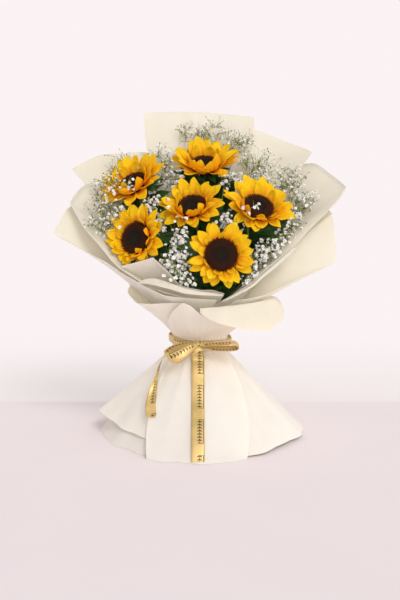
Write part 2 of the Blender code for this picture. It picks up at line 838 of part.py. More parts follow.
def make_bow(parts, material):
    """Knot, two loops and two tails of the ribbon, tied in front of the band."""
    knot_centre = Vector((0.0, -0.0584, 0.1555))
    bm = bmesh.new()
    size = Matrix.Diagonal((0.020, 0.0095, 0.022, 1.0))
    bmesh.ops.create_cube(bm, size=1.0, matrix=Matrix.Translation(knot_centre) @ size)
    mesh = bpy.data.meshes.new("ribbon_bow")
    bm.to_mesh(mesh)
    bm.free()
    knot = link_mesh("ribbon_bow", mesh, parts)
    bevel = knot.modifiers.new("round", "BEVEL")
    bevel.width = 0.0028
    bevel.segments = 1
    apply_modifiers(knot)

    right = [
        (0.004, -0.0605, 0.1545),
        (0.034, -0.0660, 0.1560),
        (0.060, -0.0560, 0.1500),
        (0.070, -0.0430, 0.1480),
        (0.060, -0.0420, 0.1480),
        (0.034, -0.0575, 0.1530),
        (0.004, -0.0582, 0.1525),
    ]
    left = [
        (-0.004, -0.0610, 0.1500),
        (-0.028, -0.0720, 0.1440),
        (-0.048, -0.0720, 0.1350),
        (-0.058, -0.0620, 0.1310),
        (-0.047, -0.0580, 0.1350),
        (-0.028, -0.0620, 0.1450),
        (-0.004, -0.0585, 0.1515),
    ]
    pieces = []
    for label, route, lean in (("right", right, 0.10), ("left", left, -0.40)):
        path = smooth_path(route, 2)
        across = [Vector((lean, 0.15, 1.0)).normalized() * 0.019 for _ in path]
        pieces.append(ribbon_strip("bow_" + label, path, across, parts))

    gap = 0.0022
    straight = [Vector((0.0, -0.0604, 0.148))]
    for height in (0.136, 0.094, 0.050, 0.004):
        straight.append(Vector((0.0, -(panel_radius(height) + gap), height)))
    wide = [Vector((RIBBON_WIDTH * 0.95, 0.0, 0.0)) for _ in straight]
    pieces.append(ribbon_strip("tail_front", straight, wide, parts))

    route = [Vector((-0.002, -0.0590, 0.150))]
    for azimuth, height, stand in (
        (-40, 0.140, 0.012),
        (-62, 0.122, 0.009),
        (-59, 0.100, 0.006),
        (-49, 0.076, 0.006),
        (-41, 0.060, 0.006),
        (-33, 0.051, 0.007),
    ):
        route.append(polar(azimuth, panel_radius(height) + stand, height))
    path = smooth_path(route, 2)
    across = []
    for i, point in enumerate(path):
        ahead = path[min(i + 1, len(path) - 1)] - path[max(i - 1, 0)]
        outward = Vector((point.x, point.y, abs(point.z) * 0.2)).normalized()
        across.append(ahead.cross(outward).normalized() * 0.014)
    pieces.append(ribbon_strip("tail_left", path, across, parts))
    return finish(fuse(knot, pieces), material)


def main():
    clear_scene()
    parts = new_collection("bouquet")
    paper = new_material("ivory paper", IVORY, 0.75)
    solids = [make_sheet(name, spec, parts, paper) for name, spec in SHEETS.items()]

    for key, (centre, facing, tie_azimuth) in BLOOMS.items():
        rng = random.Random(key)
        frame = bloom_frame(centre, facing)
        yellow = new_material(f"petals {key}", YELLOW, 0.55)
        brown = new_material(f"disc {key}", DARK_BROWN, 0.85)
        green = new_material(f"stem {key}", LEAF_GREEN, 0.6)
        solids.append(make_petals(f"sunflower_{key}_petals", frame, rng, parts, yellow))
        solids.append(make_disc(f"sunflower_{key}_disc", frame, parts, brown))
        solids.append(make_stem(key, frame, tie_azimuth, parts, green))

    solids.append(make_twine(parts, new_material("twine", TWINE_BROWN, 0.9)))
    gold = new_material("gold ribbon", GOLD, 0.35, 0.2)
    solids.append(make_band(parts, gold))
    solids.append(make_bow(parts, gold))

    trees = [tree_of(obj) for obj in solids]
    for key, (tie_azimuth, crown) in SPRAYS.items():
        rng = random.Random("spray " + key)
        pale = new_material(f"gypsophila {key}", PALE_GREEN, 0.7)
        spray = make_spray(key, tie_azimuth, crown, trees, rng, parts, pale)
        trees.append(tree_of(spray))


main()
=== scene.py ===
"""Sunflower bouquet: the looks of a hand-tied bunch in an ivory florist's wrap with a gold ribbon.

Lengths are in metres and +Z is up. The bouquet stands on the floor at the origin and its front
faces -Y. A place round the stems is given as azimuth in degrees, radius and height: azimuth 0 is
the front, 90 the right side, 180 the back and -90 the left side.
"""

import json
import math
import random

import bmesh
import bpy
import numpy as np
from bpy.props import FloatProperty, FloatVectorProperty, IntProperty, PointerProperty
from mathutils import Matrix, Vector
from mathutils.bvhtree import BVHTree

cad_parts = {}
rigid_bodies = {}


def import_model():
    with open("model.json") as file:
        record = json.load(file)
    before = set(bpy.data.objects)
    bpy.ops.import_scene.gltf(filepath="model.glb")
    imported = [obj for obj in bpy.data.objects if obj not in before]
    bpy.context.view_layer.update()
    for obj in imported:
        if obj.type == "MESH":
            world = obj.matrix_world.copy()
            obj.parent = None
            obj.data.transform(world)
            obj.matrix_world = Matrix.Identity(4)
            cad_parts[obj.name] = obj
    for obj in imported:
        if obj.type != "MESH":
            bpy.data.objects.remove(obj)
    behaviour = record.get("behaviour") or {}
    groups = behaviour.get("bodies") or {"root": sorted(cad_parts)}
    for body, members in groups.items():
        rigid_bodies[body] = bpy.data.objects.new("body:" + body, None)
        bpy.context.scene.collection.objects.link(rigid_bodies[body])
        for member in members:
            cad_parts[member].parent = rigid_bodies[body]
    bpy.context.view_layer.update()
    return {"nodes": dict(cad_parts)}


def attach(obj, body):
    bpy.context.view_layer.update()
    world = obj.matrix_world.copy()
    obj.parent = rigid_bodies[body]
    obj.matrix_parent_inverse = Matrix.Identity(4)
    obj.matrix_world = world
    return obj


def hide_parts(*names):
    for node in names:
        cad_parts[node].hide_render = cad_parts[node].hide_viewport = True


bl_info = {
    "name": "Sunflower Bouquet",
    "version": (1, 0, 0),
    "blender": (4, 5, 0),
    "location": "View3D > Sidebar > Bouquet",
    "description": "Builds a wrapped bouquet of sunflowers and gypsophila, piece by piece",
    "category": "Add Mesh",
}

for leftover in list(bpy.data.objects):
    bpy.data.objects.remove(leftover)
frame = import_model()

# The tie and the wrap
TIE_HEIGHT = 0.158
BAND_TOP = 0.169
BAND_FOOT = 0.147
SHEET_STEP = 0.0039
FIRST_SHEET_RADIUS = 0.0262
BAND_RADIUS = 0.0524
FRONT_PANEL_LAYER = 6
PANEL_STAND = 0.0014
PANEL_HEM_RADIUS = 0.1767
LOWEST_HEM = 0.0004
CORNER_ANGLE = math.radians(50)

# How finely a sheet is divided: between two ribs, from the tie to the rim and from hem to tie
COLUMNS_PER_RIB = 8
ROWS_UP = 26
ROWS_DOWN = 20
ROWS_OF_LIP = 10

# The ribbon and the twine
SATIN_THICKNESS = 0.0004
RIBBON_COLUMNS = 7
BAND_STEPS = 144
KNOT_CENTRE = (-0.0025, -0.0610, 0.1605)
KNOT_RUN = 0.045
TWINE_TURNS = 3
TWINE_RADIUS = 0.0223
TWINE_PITCH = 0.0024
STRAND_RADIUS = 0.0006
TWISTS_PER_TURN = 15

# The sunflowers
BLOOM_RADIUS = 0.053
DISC_RADIUS = 0.027
PETAL_THICKNESS = 0.00035
INNER_PETALS = 8
PETAL_ROOT = 0.90
PETAL_TRIES = 6
DISC_RINGS = 10
DISC_RIM = 0.006
DISC_FLORET_SIDES = 5
STEM_RADIUS = 0.0060
STEM_RING = 0.0121
STEM_FOOT_RING = 0.045
STEM_STEPS = 28
GOLDEN_ANGLE = math.radians(137.508)

# The gypsophila, and how clear its florets stay of one another and of the sheets; those of a
# spray that leans out over the rim stay further off
SPRAY_RING = 0.0174
SPRAY_FOOT_RING = 0.056
SPRAY_STEM_RADIUS = 0.0017
FLORET_GAP = 0.0036
SHEET_GAP = 0.0016
RIM_SPRAY_GAP = 0.0042

# The camera: its focal length and the picture's height in pixels, and the sensor's height in mm
FOCAL_PIXELS = 941.0
PICTURE_PIXELS = 600.0
SENSOR_HEIGHT = 36.0

# How far back the floor turns into the backdrop and the backdrop comes to shine like the sky,
# and how far away the floor does so on every side
BACKDROP_EDGE = (0.178, 0.190)
BACKDROP_RISE = (-0.35, 1.0)
FLOOR_FADE = (1.9, 6.0)

# Centre of the face, the way it faces, azimuth of its stem at the tie, how far its petals stand
# up, from 0, lying flat, to 1, upright, and the length of its petals and the radius of its disc
# as shares of the usual ones.
BLOOMS = {
    "top": ((0.008, 0.060, 0.4450), (0.0, -0.47, 0.88), 170, 0.60, 1.28, 0.98),
    "upper_left": ((-0.110, 0.014, 0.4150), (-0.40, -0.53, 0.75), -118, 0.50, 1.34, 0.92),
    "centre": ((-0.013, -0.020, 0.380), (-0.22, -0.62, 0.75), None, 0.48, 1.12, 0.90),
    "right": ((0.093, -0.028, 0.379), (0.20, -0.66, 0.72), 98, 0.40, 1.20, 0.97),
    "lower_left": ((-0.101, -0.054, 0.3325), (-0.50, -0.80, 0.28), -46, 0.46, 1.06, 1.00),
    "front": ((0.033, -0.085, 0.309), (0.02, -0.96, 0.28), 26, 0.16, 0.97, 1.0),
}

# The large leaves of each stem: how far up it the leaf grows, and the leaf's tip.
LEAVES = {
    "top": (
        (0.66, (0.066, 0.012, 0.418)),
        (0.66, (-0.054, 0.014, 0.412)),
        (0.76, (0.052, 0.036, 0.424)),
        (0.78, (-0.046, 0.040, 0.428)),
        (0.74, (0.012, 0.006, 0.420)),
        (0.82, (0.034, 0.070, 0.438)),
        (0.74, (-0.056, 0.030, 0.432)),
    ),
    "upper_left": (
        (0.80, (-0.066, 0.002, 0.398)),
        (0.74, (-0.068, -0.016, 0.380)),
        (0.70, (-0.116, -0.004, 0.374)),
        (0.84, (-0.122, -0.020, 0.380)),
        (0.86, (-0.098, -0.018, 0.386)),
        (0.86, (-0.066, 0.022, 0.424)),
        (0.82, (-0.078, 0.040, 0.430)),
        (0.66, (-0.090, -0.020, 0.362)),
        (0.64, (-0.132, -0.016, 0.362)),
        (0.72, (-0.132, -0.025, 0.352)),
        (0.78, (-0.048, 0.010, 0.404)),
        (0.72, (-0.044, -0.004, 0.386)),
        (0.84, (-0.058, 0.026, 0.416)),
    ),
    "centre": (
        (0.84, (-0.066, -0.010, 0.376)),
        (0.88, (-0.060, 0.006, 0.390)),
        (0.80, (-0.062, -0.030, 0.356)),
        (0.82, (0.042, -0.018, 0.368)),
    ),
    "right": (
        (0.84, (0.050, 0.006, 0.398)),
        (0.72, (0.140, -0.018, 0.350)),
        (0.60, (0.090, -0.058, 0.318)),
        (0.66, (0.120, -0.050, 0.306)),
        (0.70, (0.142, -0.026, 0.330)),
        (0.76, (0.152, 0.006, 0.362)),
        (0.80, (0.138, 0.022, 0.388)),
        (0.56, (0.100, -0.062, 0.286)),
        (0.74, (0.070, -0.044, 0.346)),
    ),
    "lower_left": (
        (0.72, (-0.048, -0.078, 0.300)),
        (0.84, (-0.070, -0.020, 0.354)),
        (0.80, (-0.112, -0.018, 0.354)),
        (0.86, (-0.140, -0.020, 0.350)),
    ),
    "front": (
        (0.50, (0.060, -0.074, 0.262)),
        (0.60, (0.088, -0.066, 0.298)),
    ),
}

# Gypsophila: azimuth of the spray's stem at the tie, and its clouds of florets. Each cloud has
# its middle, its half sizes, how many florets and buds it holds, and the size of its florets as
# a share of the usual one.
SPRAYS = {
    "back_left": (
        -163,
        (
            ((-0.034, 0.026, 0.424), (0.020, 0.014, 0.014), 22, 14, 0.86),
            ((-0.066, 0.060, 0.448), (0.030, 0.024, 0.034), 73, 75, 0.68),
            ((-0.084, 0.040, 0.420), (0.026, 0.022, 0.026), 50, 38, 0.74),
            ((-0.020, 0.107, 0.503), (0.028, 0.010, 0.020), 19, 50, 0.61),
        ),
    ),
    "upper_left": (
        -145,
        (
            ((-0.128, 0.058, 0.440), (0.030, 0.024, 0.030), 34, 58, 0.61),
            ((-0.150, 0.022, 0.408), (0.026, 0.022, 0.026), 34, 38, 0.66),
            ((-0.126, -0.018, 0.404), (0.026, 0.012, 0.026), 21, 16, 0.80),
        ),
    ),
    "left": (
        -91,
        (
            ((-0.158, -0.012, 0.378), (0.028, 0.026, 0.030), 50, 58, 0.66),
            ((-0.166, -0.024, 0.350), (0.024, 0.022, 0.022), 26, 28, 0.66),
            ((-0.136, -0.030, 0.358), (0.020, 0.018, 0.028), 24, 18, 0.84),
        ),
    ),
    "centre_left": (
        -73,
        (
            ((-0.094, -0.014, 0.384), (0.034, 0.016, 0.018), 62, 28, 0.80),
            ((-0.060, -0.030, 0.356), (0.022, 0.018, 0.022), 33, 18, 0.80),
        ),
    ),
    "front_left": (
        -19,
        (
            ((-0.040, -0.082, 0.296), (0.026, 0.018, 0.026), 52, 20, 0.84),
            ((-0.030, -0.094, 0.268), (0.028, 0.012, 0.012), 22, 14, 0.80),
            ((-0.066, -0.086, 0.292), (0.022, 0.014, 0.016), 14, 16, 0.86),
        ),
    ),
    "centre": (
        -1,
        (
            ((-0.036, -0.066, 0.334), (0.020, 0.018, 0.030), 52, 20, 0.84),
            ((-0.016, -0.070, 0.300), (0.016, 0.012, 0.024), 21, 16, 0.80),
        ),
    ),
    "front_right": (
        53,
        (
            ((0.092, -0.066, 0.302), (0.026, 0.018, 0.024), 40, 22, 0.80),
            ((0.074, -0.082, 0.276), (0.016, 0.010, 0.018), 19, 14, 0.80),
            ((0.055, -0.053, 0.353), (0.034, 0.014, 0.020), 48, 18, 0.80),
            ((0.083, -0.064, 0.384), (0.016, 0.003, 0.006), 5, 0, 0.80),
        ),
    ),
    "right_low": (
        74,
        (
            ((0.132, -0.038, 0.318), (0.028, 0.024, 0.026), 56, 48, 0.82),
            ((0.150, -0.018, 0.350), (0.026, 0.026, 0.024), 54, 56, 0.78),
            ((0.114, -0.058, 0.312), (0.026, 0.016, 0.022), 40, 26, 0.80),
        ),
    ),
    "right": (
        121.5,
        (
            ((0.166, 0.010, 0.386), (0.028, 0.028, 0.028), 68, 70, 0.76),
            ((0.150, 0.036, 0.424), (0.030, 0.024, 0.024), 56, 78, 0.68),
            ((0.110, 0.036, 0.414), (0.024, 0.022, 0.022), 34, 34, 0.74),
        ),
    ),
    "back_right": (
        143,
        (
            ((0.046, 0.026, 0.424), (0.024, 0.014, 0.014), 29, 14, 0.90),
            ((0.100, 0.064, 0.448), (0.034, 0.024, 0.026), 66, 80, 0.66),
            ((0.066, 0.096, 0.486), (0.030, 0.014, 0.020), 34, 58, 0.63),
            ((0.022, 0.108, 0.505), (0.032, 0.010, 0.020), 22, 55, 0.59),
        ),
    ),
}

# Florets that lean out over the rim of the wrap, each with the height of its twig over the rim.
OVER_RIM = {
    "front_left": (
        ((-0.0560, -0.1140, 0.2800), 0.2905),
        ((-0.0455, -0.1160, 0.2735), 0.2820),
        ((-0.0365, -0.1150, 0.2765), 0.2800),
        ((-0.0215, -0.1140, 0.2675), 0.2725),
        ((-0.0077, -0.1130, 0.2660), 0.2700),
    ),
}

# Sheets of the wrap, as places round the stems. Each rib gives its azimuth at the tie, its rim
# (azimuth, radius, height) and, on the sheets that reach down, its hem. "belly" is where the rib
# bends, "lip" is the edge of a collar that is turned down, "corners" are the ribs where the rim
# turns sharply, and "turned" is the width of an edge that is folded outwards. Layers count
# outwards from the stems.
SHEETS = {
    "paper_front_inner": {
        "layer": 1,
        "belly": (0.27, 0.61),
        "corners": (1, 3),
        "ribs": (
            (-80, (-64, 0.1435, 0.284)),
            (-66, (-57, 0.1445, 0.2915)),
            (-50, (-45, 0.1355, 0.300)),
            (-38, (-35.5, 0.1250, 0.3070)),
            (-29, (-27, 0.111, 0.2860)),
            (-18, (-17, 0.104, 0.2640)),
            (-2, (0, 0.098, 0.256)),
            (14, (12, 0.097, 0.255)),
            (30, (23, 0.099, 0.249)),
        ),
    },
    "paper_back_centre": {
        "layer": 0,
        "belly": (0.38, 0.58),
        "ribs": (
            (112, (144, 0.161, 0.529), (92, 0.146, 0.0)),
            (130, (154, 0.149, 0.532), (115, 0.148, 0.0)),
            (150, (165, 0.140, 0.535), (138, 0.156, 0.0)),
            (170, (175, 0.137, 0.537), (160, 0.172, 0.0)),
            (190, (185, 0.137, 0.538), (182, 0.1755, 0.0)),
            (210, (196, 0.142, 0.538), (204, 0.170, 0.0)),
            (230, (206, 0.150, 0.537), (228, 0.150, 0.0)),
            (248, (216.5, 0.162, 0.536), (255, 0.146, 0.0)),
        ),
    },
    "paper_back_right": {
        "layer": 1,
        "belly": (0.36, 0.60),
        "ribs": (
            (104, (117, 0.218, 0.468)),
            (118, (131, 0.193, 0.488)),
            (132, (145, 0.171, 0.5066)),
            (150, (158, 0.163, 0.504)),
            (168, (172, 0.156, 0.500)),
        ),
    },
    "paper_side_left": {
        "layer": 2,
        "corners": (3,),
        "turned": 0.008,
        "belly": (0.28, 0.62),
        "ribs": (
            (-115, (-122, 0.119, 0.386), (-120, 0.160, 0.0)),
            (-103, (-112, 0.145, 0.400), (-108, 0.163, 0.0)),
            (-92, (-102, 0.190, 0.416), (-96, 0.166, 0.0)),
            (-80, (-90, 0.212, 0.386), (-86, 0.166, 0.0)),
            (-70, (-81, 0.189, 0.350), (-76, 0.164, 0.0)),
            (-60, (-73, 0.172, 0.328), (-66, 0.162, 0.0)),
            (-48, (-63, 0.153, 0.2965), (-56, 0.160, 0.0)),
            (-36, (-53, 0.136, 0.277), (-46, 0.160, 0.0)),
            (-24, (-41, 0.119, 0.259), (-36, 0.160, 0.0)),
            (-8, (-12, 0.099, 0.243), (-24, 0.160, 0.0)),
        ),
    },
    "paper_back_left": {
        "layer": 3,
        "belly": (0.36, 0.58),
        "ribs": (
            (-165, (-170, 0.150, 0.458)),
            (-148, (-155, 0.155, 0.464)),
            (-133, (-139, 0.160, 0.468)),
            (-120, (-126, 0.177, 0.466)),
            (-108, (-114.4, 0.195, 0.4615)),
            (-95, (-105.5, 0.226, 0.440)),
        ),
    },
    "paper_side_right": {
        "layer": 2,
        "corners": (6,),
        "turned": 0.008,
        "belly": (0.32, 0.61),
        "ribs": (
            (0, (20.5, 0.100, 0.238), (28, 0.152, 0.0)),
            (15, (42, 0.115, 0.263), (36, 0.152, 0.0)),
            (29, (58, 0.132, 0.292), (45, 0.150, 0.0)),
            (40, (69, 0.154, 0.317), (54, 0.150, 0.0)),
            (51, (81, 0.1975, 0.363), (64, 0.152, 0.0)),
            (59, (88, 0.220, 0.388), (74, 0.158, 0.0)),
            (68, (95, 0.241, 0.411), (84, 0.163, 0.0)),
            (80, (106, 0.235, 0.430), (96, 0.163, 0.0)),
            (93, (117, 0.224, 0.448), (108, 0.163, 0.0)),
            (106, (128, 0.212, 0.446), (120, 0.165, 0.0)),
            (120, (140, 0.198, 0.440), (132, 0.168, 0.0)),
        ),
    },
    "paper_outer_left": {
        "layer": 4,
        "corners": (4,),
        "belly": (0.34, 0.58),
        "ribs": (
            (-120, (-125, 0.180, 0.380), (-125, 0.158, 0.026)),
            (-106, (-108, 0.205, 0.385), (-108, 0.164, 0.030)),
            (-93, (-93, 0.220, 0.375), (-92, 0.170, 0.0335)),
            (-84, (-88, 0.231, 0.355), (-80, 0.160, 0.032)),
            (-76, (-85, 0.240, 0.338), (-71, 0.151, 0.029)),
            (-66, (-78, 0.193, 0.312), (-62, 0.147, 0.027)),
            (-54, (-68, 0.161, 0.295), (-53, 0.146, 0.025)),
            (-40, (-54, 0.139, 0.274), (-44, 0.146, 0.024)),
            (-27, (-39, 0.123, 0.257), (-37, 0.146, 0.023)),
            (-14, (-28.6, 0.113, 0.247), (-31, 0.146, 0.023)),
            (0, (-6, 0.102, 0.243), (-25, 0.145, 0.023)),
            (13, (15, 0.1025, 0.240), (-18, 0.143, 0.023)),
        ),
    },
    "paper_outer_right": {
        "layer": 3,
        "corners": (3, 5),
        "belly": (0.35, 0.59),
        "ribs": (
            (17, (32, 0.106, 0.238), (20, 0.163, 0.0)),
            (35, (56, 0.126, 0.244), (34, 0.166, 0.004)),
            (48, (74, 0.1675, 0.268), (48, 0.165, 0.006)),
            (58, (86, 0.224, 0.290), (60, 0.166, 0.007)),
            (66, (90, 0.223, 0.330), (72, 0.170, 0.005)),
            (74, (93, 0.217, 0.367), (84, 0.175, 0.002)),
            (88, (110, 0.212, 0.385), (98, 0.176, 0.0)),
            (102, (125, 0.200, 0.392), (112, 0.174, 0.0)),
        ),
    },
    "paper_collar_left": {
        "layer": 5,
        "belly": (0.40, 0.52),
        "ribs": (
            (-108, (-108, 0.112, 0.250)),
            (-92, (-92, 0.115, 0.253)),
            (-80, (-80, 0.118, 0.252)),
            (-72, (-74, 0.123, 0.244)),
            (-60, (-59, 0.119, 0.230)),
            (-47, (-45, 0.114, 0.231)),
            (-33, (-27, 0.103, 0.234)),
            (-22, (-14, 0.100, 0.235)),
        ),
    },
    "paper_collar_right": {
        "layer": 5,
        "belly": (0.44, 0.52),
        "ribs": (
            (2, (0, 0.1055, 0.227)),
            (14, (12, 0.1085, 0.229)),
            (26, (25, 0.111, 0.231)),
            (38, (40, 0.1125, 0.232)),
            (50, (55, 0.114, 0.232)),
            (64, (72, 0.1185, 0.232)),
            (80, (88, 0.1165, 0.230)),
            (98, (105, 0.113, 0.227)),
        ),
        "lip": (
            (0, 0.112, 0.222),
            (9, 0.121, 0.211),
            (21, 0.127, 0.202),
            (38, 0.128, 0.193),
            (55, 0.132, 0.187),
            (73, 0.141, 0.200),
            (86, 0.138, 0.212),
            (105, 0.121, 0.221),
        ),
    },
    "paper_front_panel": {
        "layer": FRONT_PANEL_LAYER,
        "belly": (0.50, 0.46),
        "ribs": (
            (-58, (-14, 0.110, 0.237), (-28, 0.175, 0.0)),
            (-40, (-8, 0.108, 0.232), (-19, 0.1755, 0.0)),
            (-20, (-1, 0.102, 0.220), (-9, 0.176, 0.0)),
            (0, (8, 0.099, 0.211), (0, 0.176, 0.0)),
            (20, (20, 0.095, 0.203), (9, 0.176, 0.0)),
            (40, (33, 0.089, 0.196), (18, 0.175, 0.0)),
            (56, (45, 0.083, 0.189), (25, 0.174, 0.0)),
        ),
    },
}

# The fold of the front sheet that rolls over in front of its flap.
ROLLED_FOLD = {
    "layer": 1.5,
    "belly": (0.26, 0.60),
    "ribs": (
        (-58, (-50, 0.128, 0.264)),
        (-46, (-42, 0.125, 0.271)),
        (-34, (-33, 0.120, 0.272)),
        (-22, (-22, 0.113, 0.265)),
        (-9, (-11, 0.106, 0.258)),
        (4, (1, 0.102, 0.253)),
        (17, (13, 0.099, 0.250)),
        (27, (21.5, 0.0985, 0.247)),
    ),
    "lip": (
        (-50, 0.131, 0.262),
        (-42, 0.1315, 0.266),
        (-33, 0.1285, 0.2645),
        (-22, 0.1205, 0.2585),
        (-11, 0.1130, 0.2520),
        (1, 0.1070, 0.2490),
        (13, 0.1030, 0.2470),
        (21.5, 0.1005, 0.2450),
    ),
}

# The narrow double edge that lies along the front of the right side sheet.
EDGE_PLEAT = {
    "layer": 2.45,
    "belly": (0.32, 0.61),
    "corners": (6,),
    "ribs": (
        (-2, (22, 0.1030, 0.2385)),
        (9, (33, 0.1115, 0.2515)),
        (20, (43, 0.1190, 0.2622)),
        (30, (51, 0.1285, 0.2772)),
        (40, (58, 0.1378, 0.2920)),
        (50, (64, 0.1482, 0.3060)),
        (58, (69, 0.1588, 0.3180)),
        (66, (72, 0.1578, 0.3085)),
    ),
    "lip": (
        (22.3, 0.1040, 0.2372),
        (33.4, 0.1132, 0.2495),
        (43.5, 0.1210, 0.2596),
        (51.6, 0.1308, 0.2742),
        (58.7, 0.1403, 0.2886),
        (64.8, 0.1510, 0.3024),
        (69.9, 0.1612, 0.3142),
        (72.4, 0.1592, 0.3068),
    ),
}

# The bow's loops and its short tail: points of the strip's middle line, its width along the
# strip as shares of the ribbon's, the way its width points (x, y and z) along the strip, and the
# height of its crown. Places along the strip run from 0 to 1.
BOW_STRIPS = {
    "ribbon_loop_right": (
        (
            (-0.0010, -0.0610, 0.1621),
            (0.0113, -0.0640, 0.1623),
            (0.0257, -0.0665, 0.1641),
            (0.0418, -0.0665, 0.1652),
            (0.0535, -0.0650, 0.1650),
            (0.0600, -0.0640, 0.1624),
            (0.0616, -0.0650, 0.1594),
            (0.0575, -0.0665, 0.1570),
            (0.0418, -0.0690, 0.1560),
            (0.0241, -0.0700, 0.1570),
            (0.0097, -0.0670, 0.1588),
            (-0.0010, -0.0620, 0.1598),
        ),
        ((0, 0.15, 0.4, 0.6, 0.85, 1), (0.34, 0.7, 0.86, 0.86, 0.72, 0.34)),
        (
            (0, 0.12, 0.40, 0.60, 0.88, 1),
            (0.05, 0.05, 0.05, 0.05, 0.05, 0.05),
            (-0.730, -0.916, -0.934, -0.922, -0.898, -0.730),
            (-0.90, -0.28, -0.22, -0.26, -0.34, -0.90),
        ),
        0.0012,
    ),
    "ribbon_loop_left": (
        (
            (-0.0040, -0.0620, 0.1602),
            (-0.0150, -0.0715, 0.1576),
            (-0.0285, -0.0800, 0.1508),
            (-0.0415, -0.0815, 0.1444),
            (-0.0497, -0.0760, 0.1432),
            (-0.0515, -0.0685, 0.1475),
            (-0.0445, -0.0635, 0.1545),
            (-0.0300, -0.0620, 0.1600),
            (-0.0162, -0.0615, 0.1632),
            (-0.0040, -0.0610, 0.1625),
        ),
        ((0, 0.12, 0.3, 0.6, 0.8, 1), (0.36, 0.72, 0.98, 0.96, 0.7, 0.3)),
        (
            (0, 0.2, 0.45, 0.6, 1),
            (-0.10, -0.42, -0.62, -0.50, -0.10),
            (-0.20, 0.35, 0.10, -0.75, -0.80),
            (1.00, 0.85, 0.80, 0.62, 0.55),
        ),
        0.0028,
    ),
    "ribbon_tail_left": (
        (
            (-0.0440, -0.0600, 0.1500),
            (-0.0535, -0.0520, 0.1440),
            (-0.0610, -0.0450, 0.1345),
            (-0.0665, -0.0460, 0.1230),
            (-0.0700, -0.0545, 0.1110),
            (-0.0738, -0.0645, 0.0984),
            (-0.0766, -0.0750, 0.0862),
            (-0.0785, -0.0862, 0.0742),
            (-0.0788, -0.0975, 0.0641),
            (-0.0770, -0.1100, 0.0546),
        ),
        ((0, 0.25, 0.5, 0.8, 0.97, 1), (0.5, 0.42, 0.55, 0.80, 0.78, 0.6)),
        (
            (0, 0.2, 0.45, 0.7, 1),
            (0.50, 0.28, 0.45, 1.00, 1.00),
            (0.30, 0.95, 0.85, 0.10, -0.05),
            (0.80, 0.35, 0.20, 0.20, 0.12),
        ),
        0.0008,
    ),
}


class PaperSizes(bpy.types.PropertyGroup):
    """Thickness and colours of the florist's sheet."""

    thickness: FloatProperty(
        name="Thickness",
        description="Thickness of the florist's sheet",
        default=0.0004,
        min=0.0001,
        unit="LENGTH",
    )
    outside: FloatVectorProperty(
        name="Outside",
        description="Colour of the sheet's outer face",
        default=(0.955, 0.89, 0.765),
        subtype="COLOR",
        size=3,
    )
    # Partly painted shade: the inner face is a greener cream, and it is also darkened to stand in
    # for the shade inside the cone of the wrap.
    inside: FloatVectorProperty(
        name="Inside",
        description="Colour of the face that looks at the flowers",
        default=(0.755, 0.715, 0.585),
        subtype="COLOR",
        size=3,
    )
    # Painted shade: the warm, darker colour laid on the sheets where the tie gathers them.
    gather_shade: FloatVectorProperty(
        name="Gathers",
        description="Colour in the gathers at the tie",
        default=(0.98, 0.83, 0.63),
        subtype="COLOR",
        size=3,
    )
    pleat: FloatProperty(
        name="Pleats",
        description="Height of the fine pleats that the tie gathers",
        default=0.0010,
        min=0.0,
        max=0.0014,
        unit="LENGTH",
    )


class SunflowerSizes(bpy.types.PropertyGroup):
    """Sizes and colours of the sunflowers."""

    petal_length: FloatProperty(
        name="Petal length",
        description="Length of a petal from the edge of the disc to its tip",
        default=0.0322,
        unit="LENGTH",
    )
    petal_width: FloatProperty(
        name="Petal width",
        description="Width of a petal at its widest",
        default=0.0172,
        unit="LENGTH",
    )
    back_petals: IntProperty(
        name="Back petals",
        description="Number of petals in the layer behind",
        default=16,
        min=5,
    )
    front_petals: IntProperty(
        name="Front petals",
        description="Number of petals in the layer next to the disc",
        default=13,
        min=5,
    )
    florets: IntProperty(
        name="Disc florets",
        description="Number of florets that fill a disc",
        default=330,
        min=60,
    )
    small_leaves: IntProperty(
        name="Small leaves",
        description="Number of small leaves tried on each stem",
        default=40,
        min=0,
    )
    petal_tip: FloatVectorProperty(
        name="Petal",
        description="Colour of the petals",
        default=(1.0, 0.64, 0.010),
        subtype="COLOR",
        size=3,
    )
    # Partly painted shade: the backs are a deeper orange than the faces, standing in for the shade
    # under the curled petals.
    petal_back: FloatVectorProperty(
        name="Petal back",
        description="Colour of the petals' backs",
        default=(0.97, 0.49, 0.005),
        subtype="COLOR",
        size=3,
    )
    # Partly painted shade: the petals' deeper orange at the disc also stands in for the shade where
    # they meet it.
    petal_root: FloatVectorProperty(
        name="Petal root",
        description="Colour of the petals at the disc",
        default=(0.74, 0.17, 0.002),
        subtype="COLOR",
        size=3,
    )
    leaf: FloatVectorProperty(
        name="Leaf",
        description="Colour of the leaves",
        default=(0.030, 0.085, 0.018),
        subtype="COLOR",
        size=3,
    )


class GypsophilaSizes(bpy.types.PropertyGroup):
    """Sizes and colours of the gypsophila."""

    fullness: FloatProperty(
        name="Fullness",
        description="Share of the usual number of florets and buds",
        default=1.0,
        min=0.05,
        max=2.0,
        subtype="FACTOR",
    )
    floret_size: FloatProperty(
        name="Floret size",
        description="Width of an open floret",
        default=0.0078,
        unit="LENGTH",
    )
    leaves: FloatProperty(
        name="Leaves",
        description="Number of narrow leaves for each floret or bud",
        default=0.38,
        min=0.0,
        max=3.0,
        subtype="FACTOR",
    )
    twig_radius: FloatProperty(
        name="Twig radius",
        description="Radius of the finest twigs",
        default=0.00028,
        unit="LENGTH",
    )
    white: FloatVectorProperty(
        name="Floret",
        description="Colour of the open florets",
        default=(0.93, 0.93, 0.91),
        subtype="COLOR",
        size=3,
    )
    green: FloatVectorProperty(
        name="Twig",
        description="Colour of the twigs",
        default=(0.26, 0.30, 0.07),
        subtype="COLOR",
        size=3,
    )


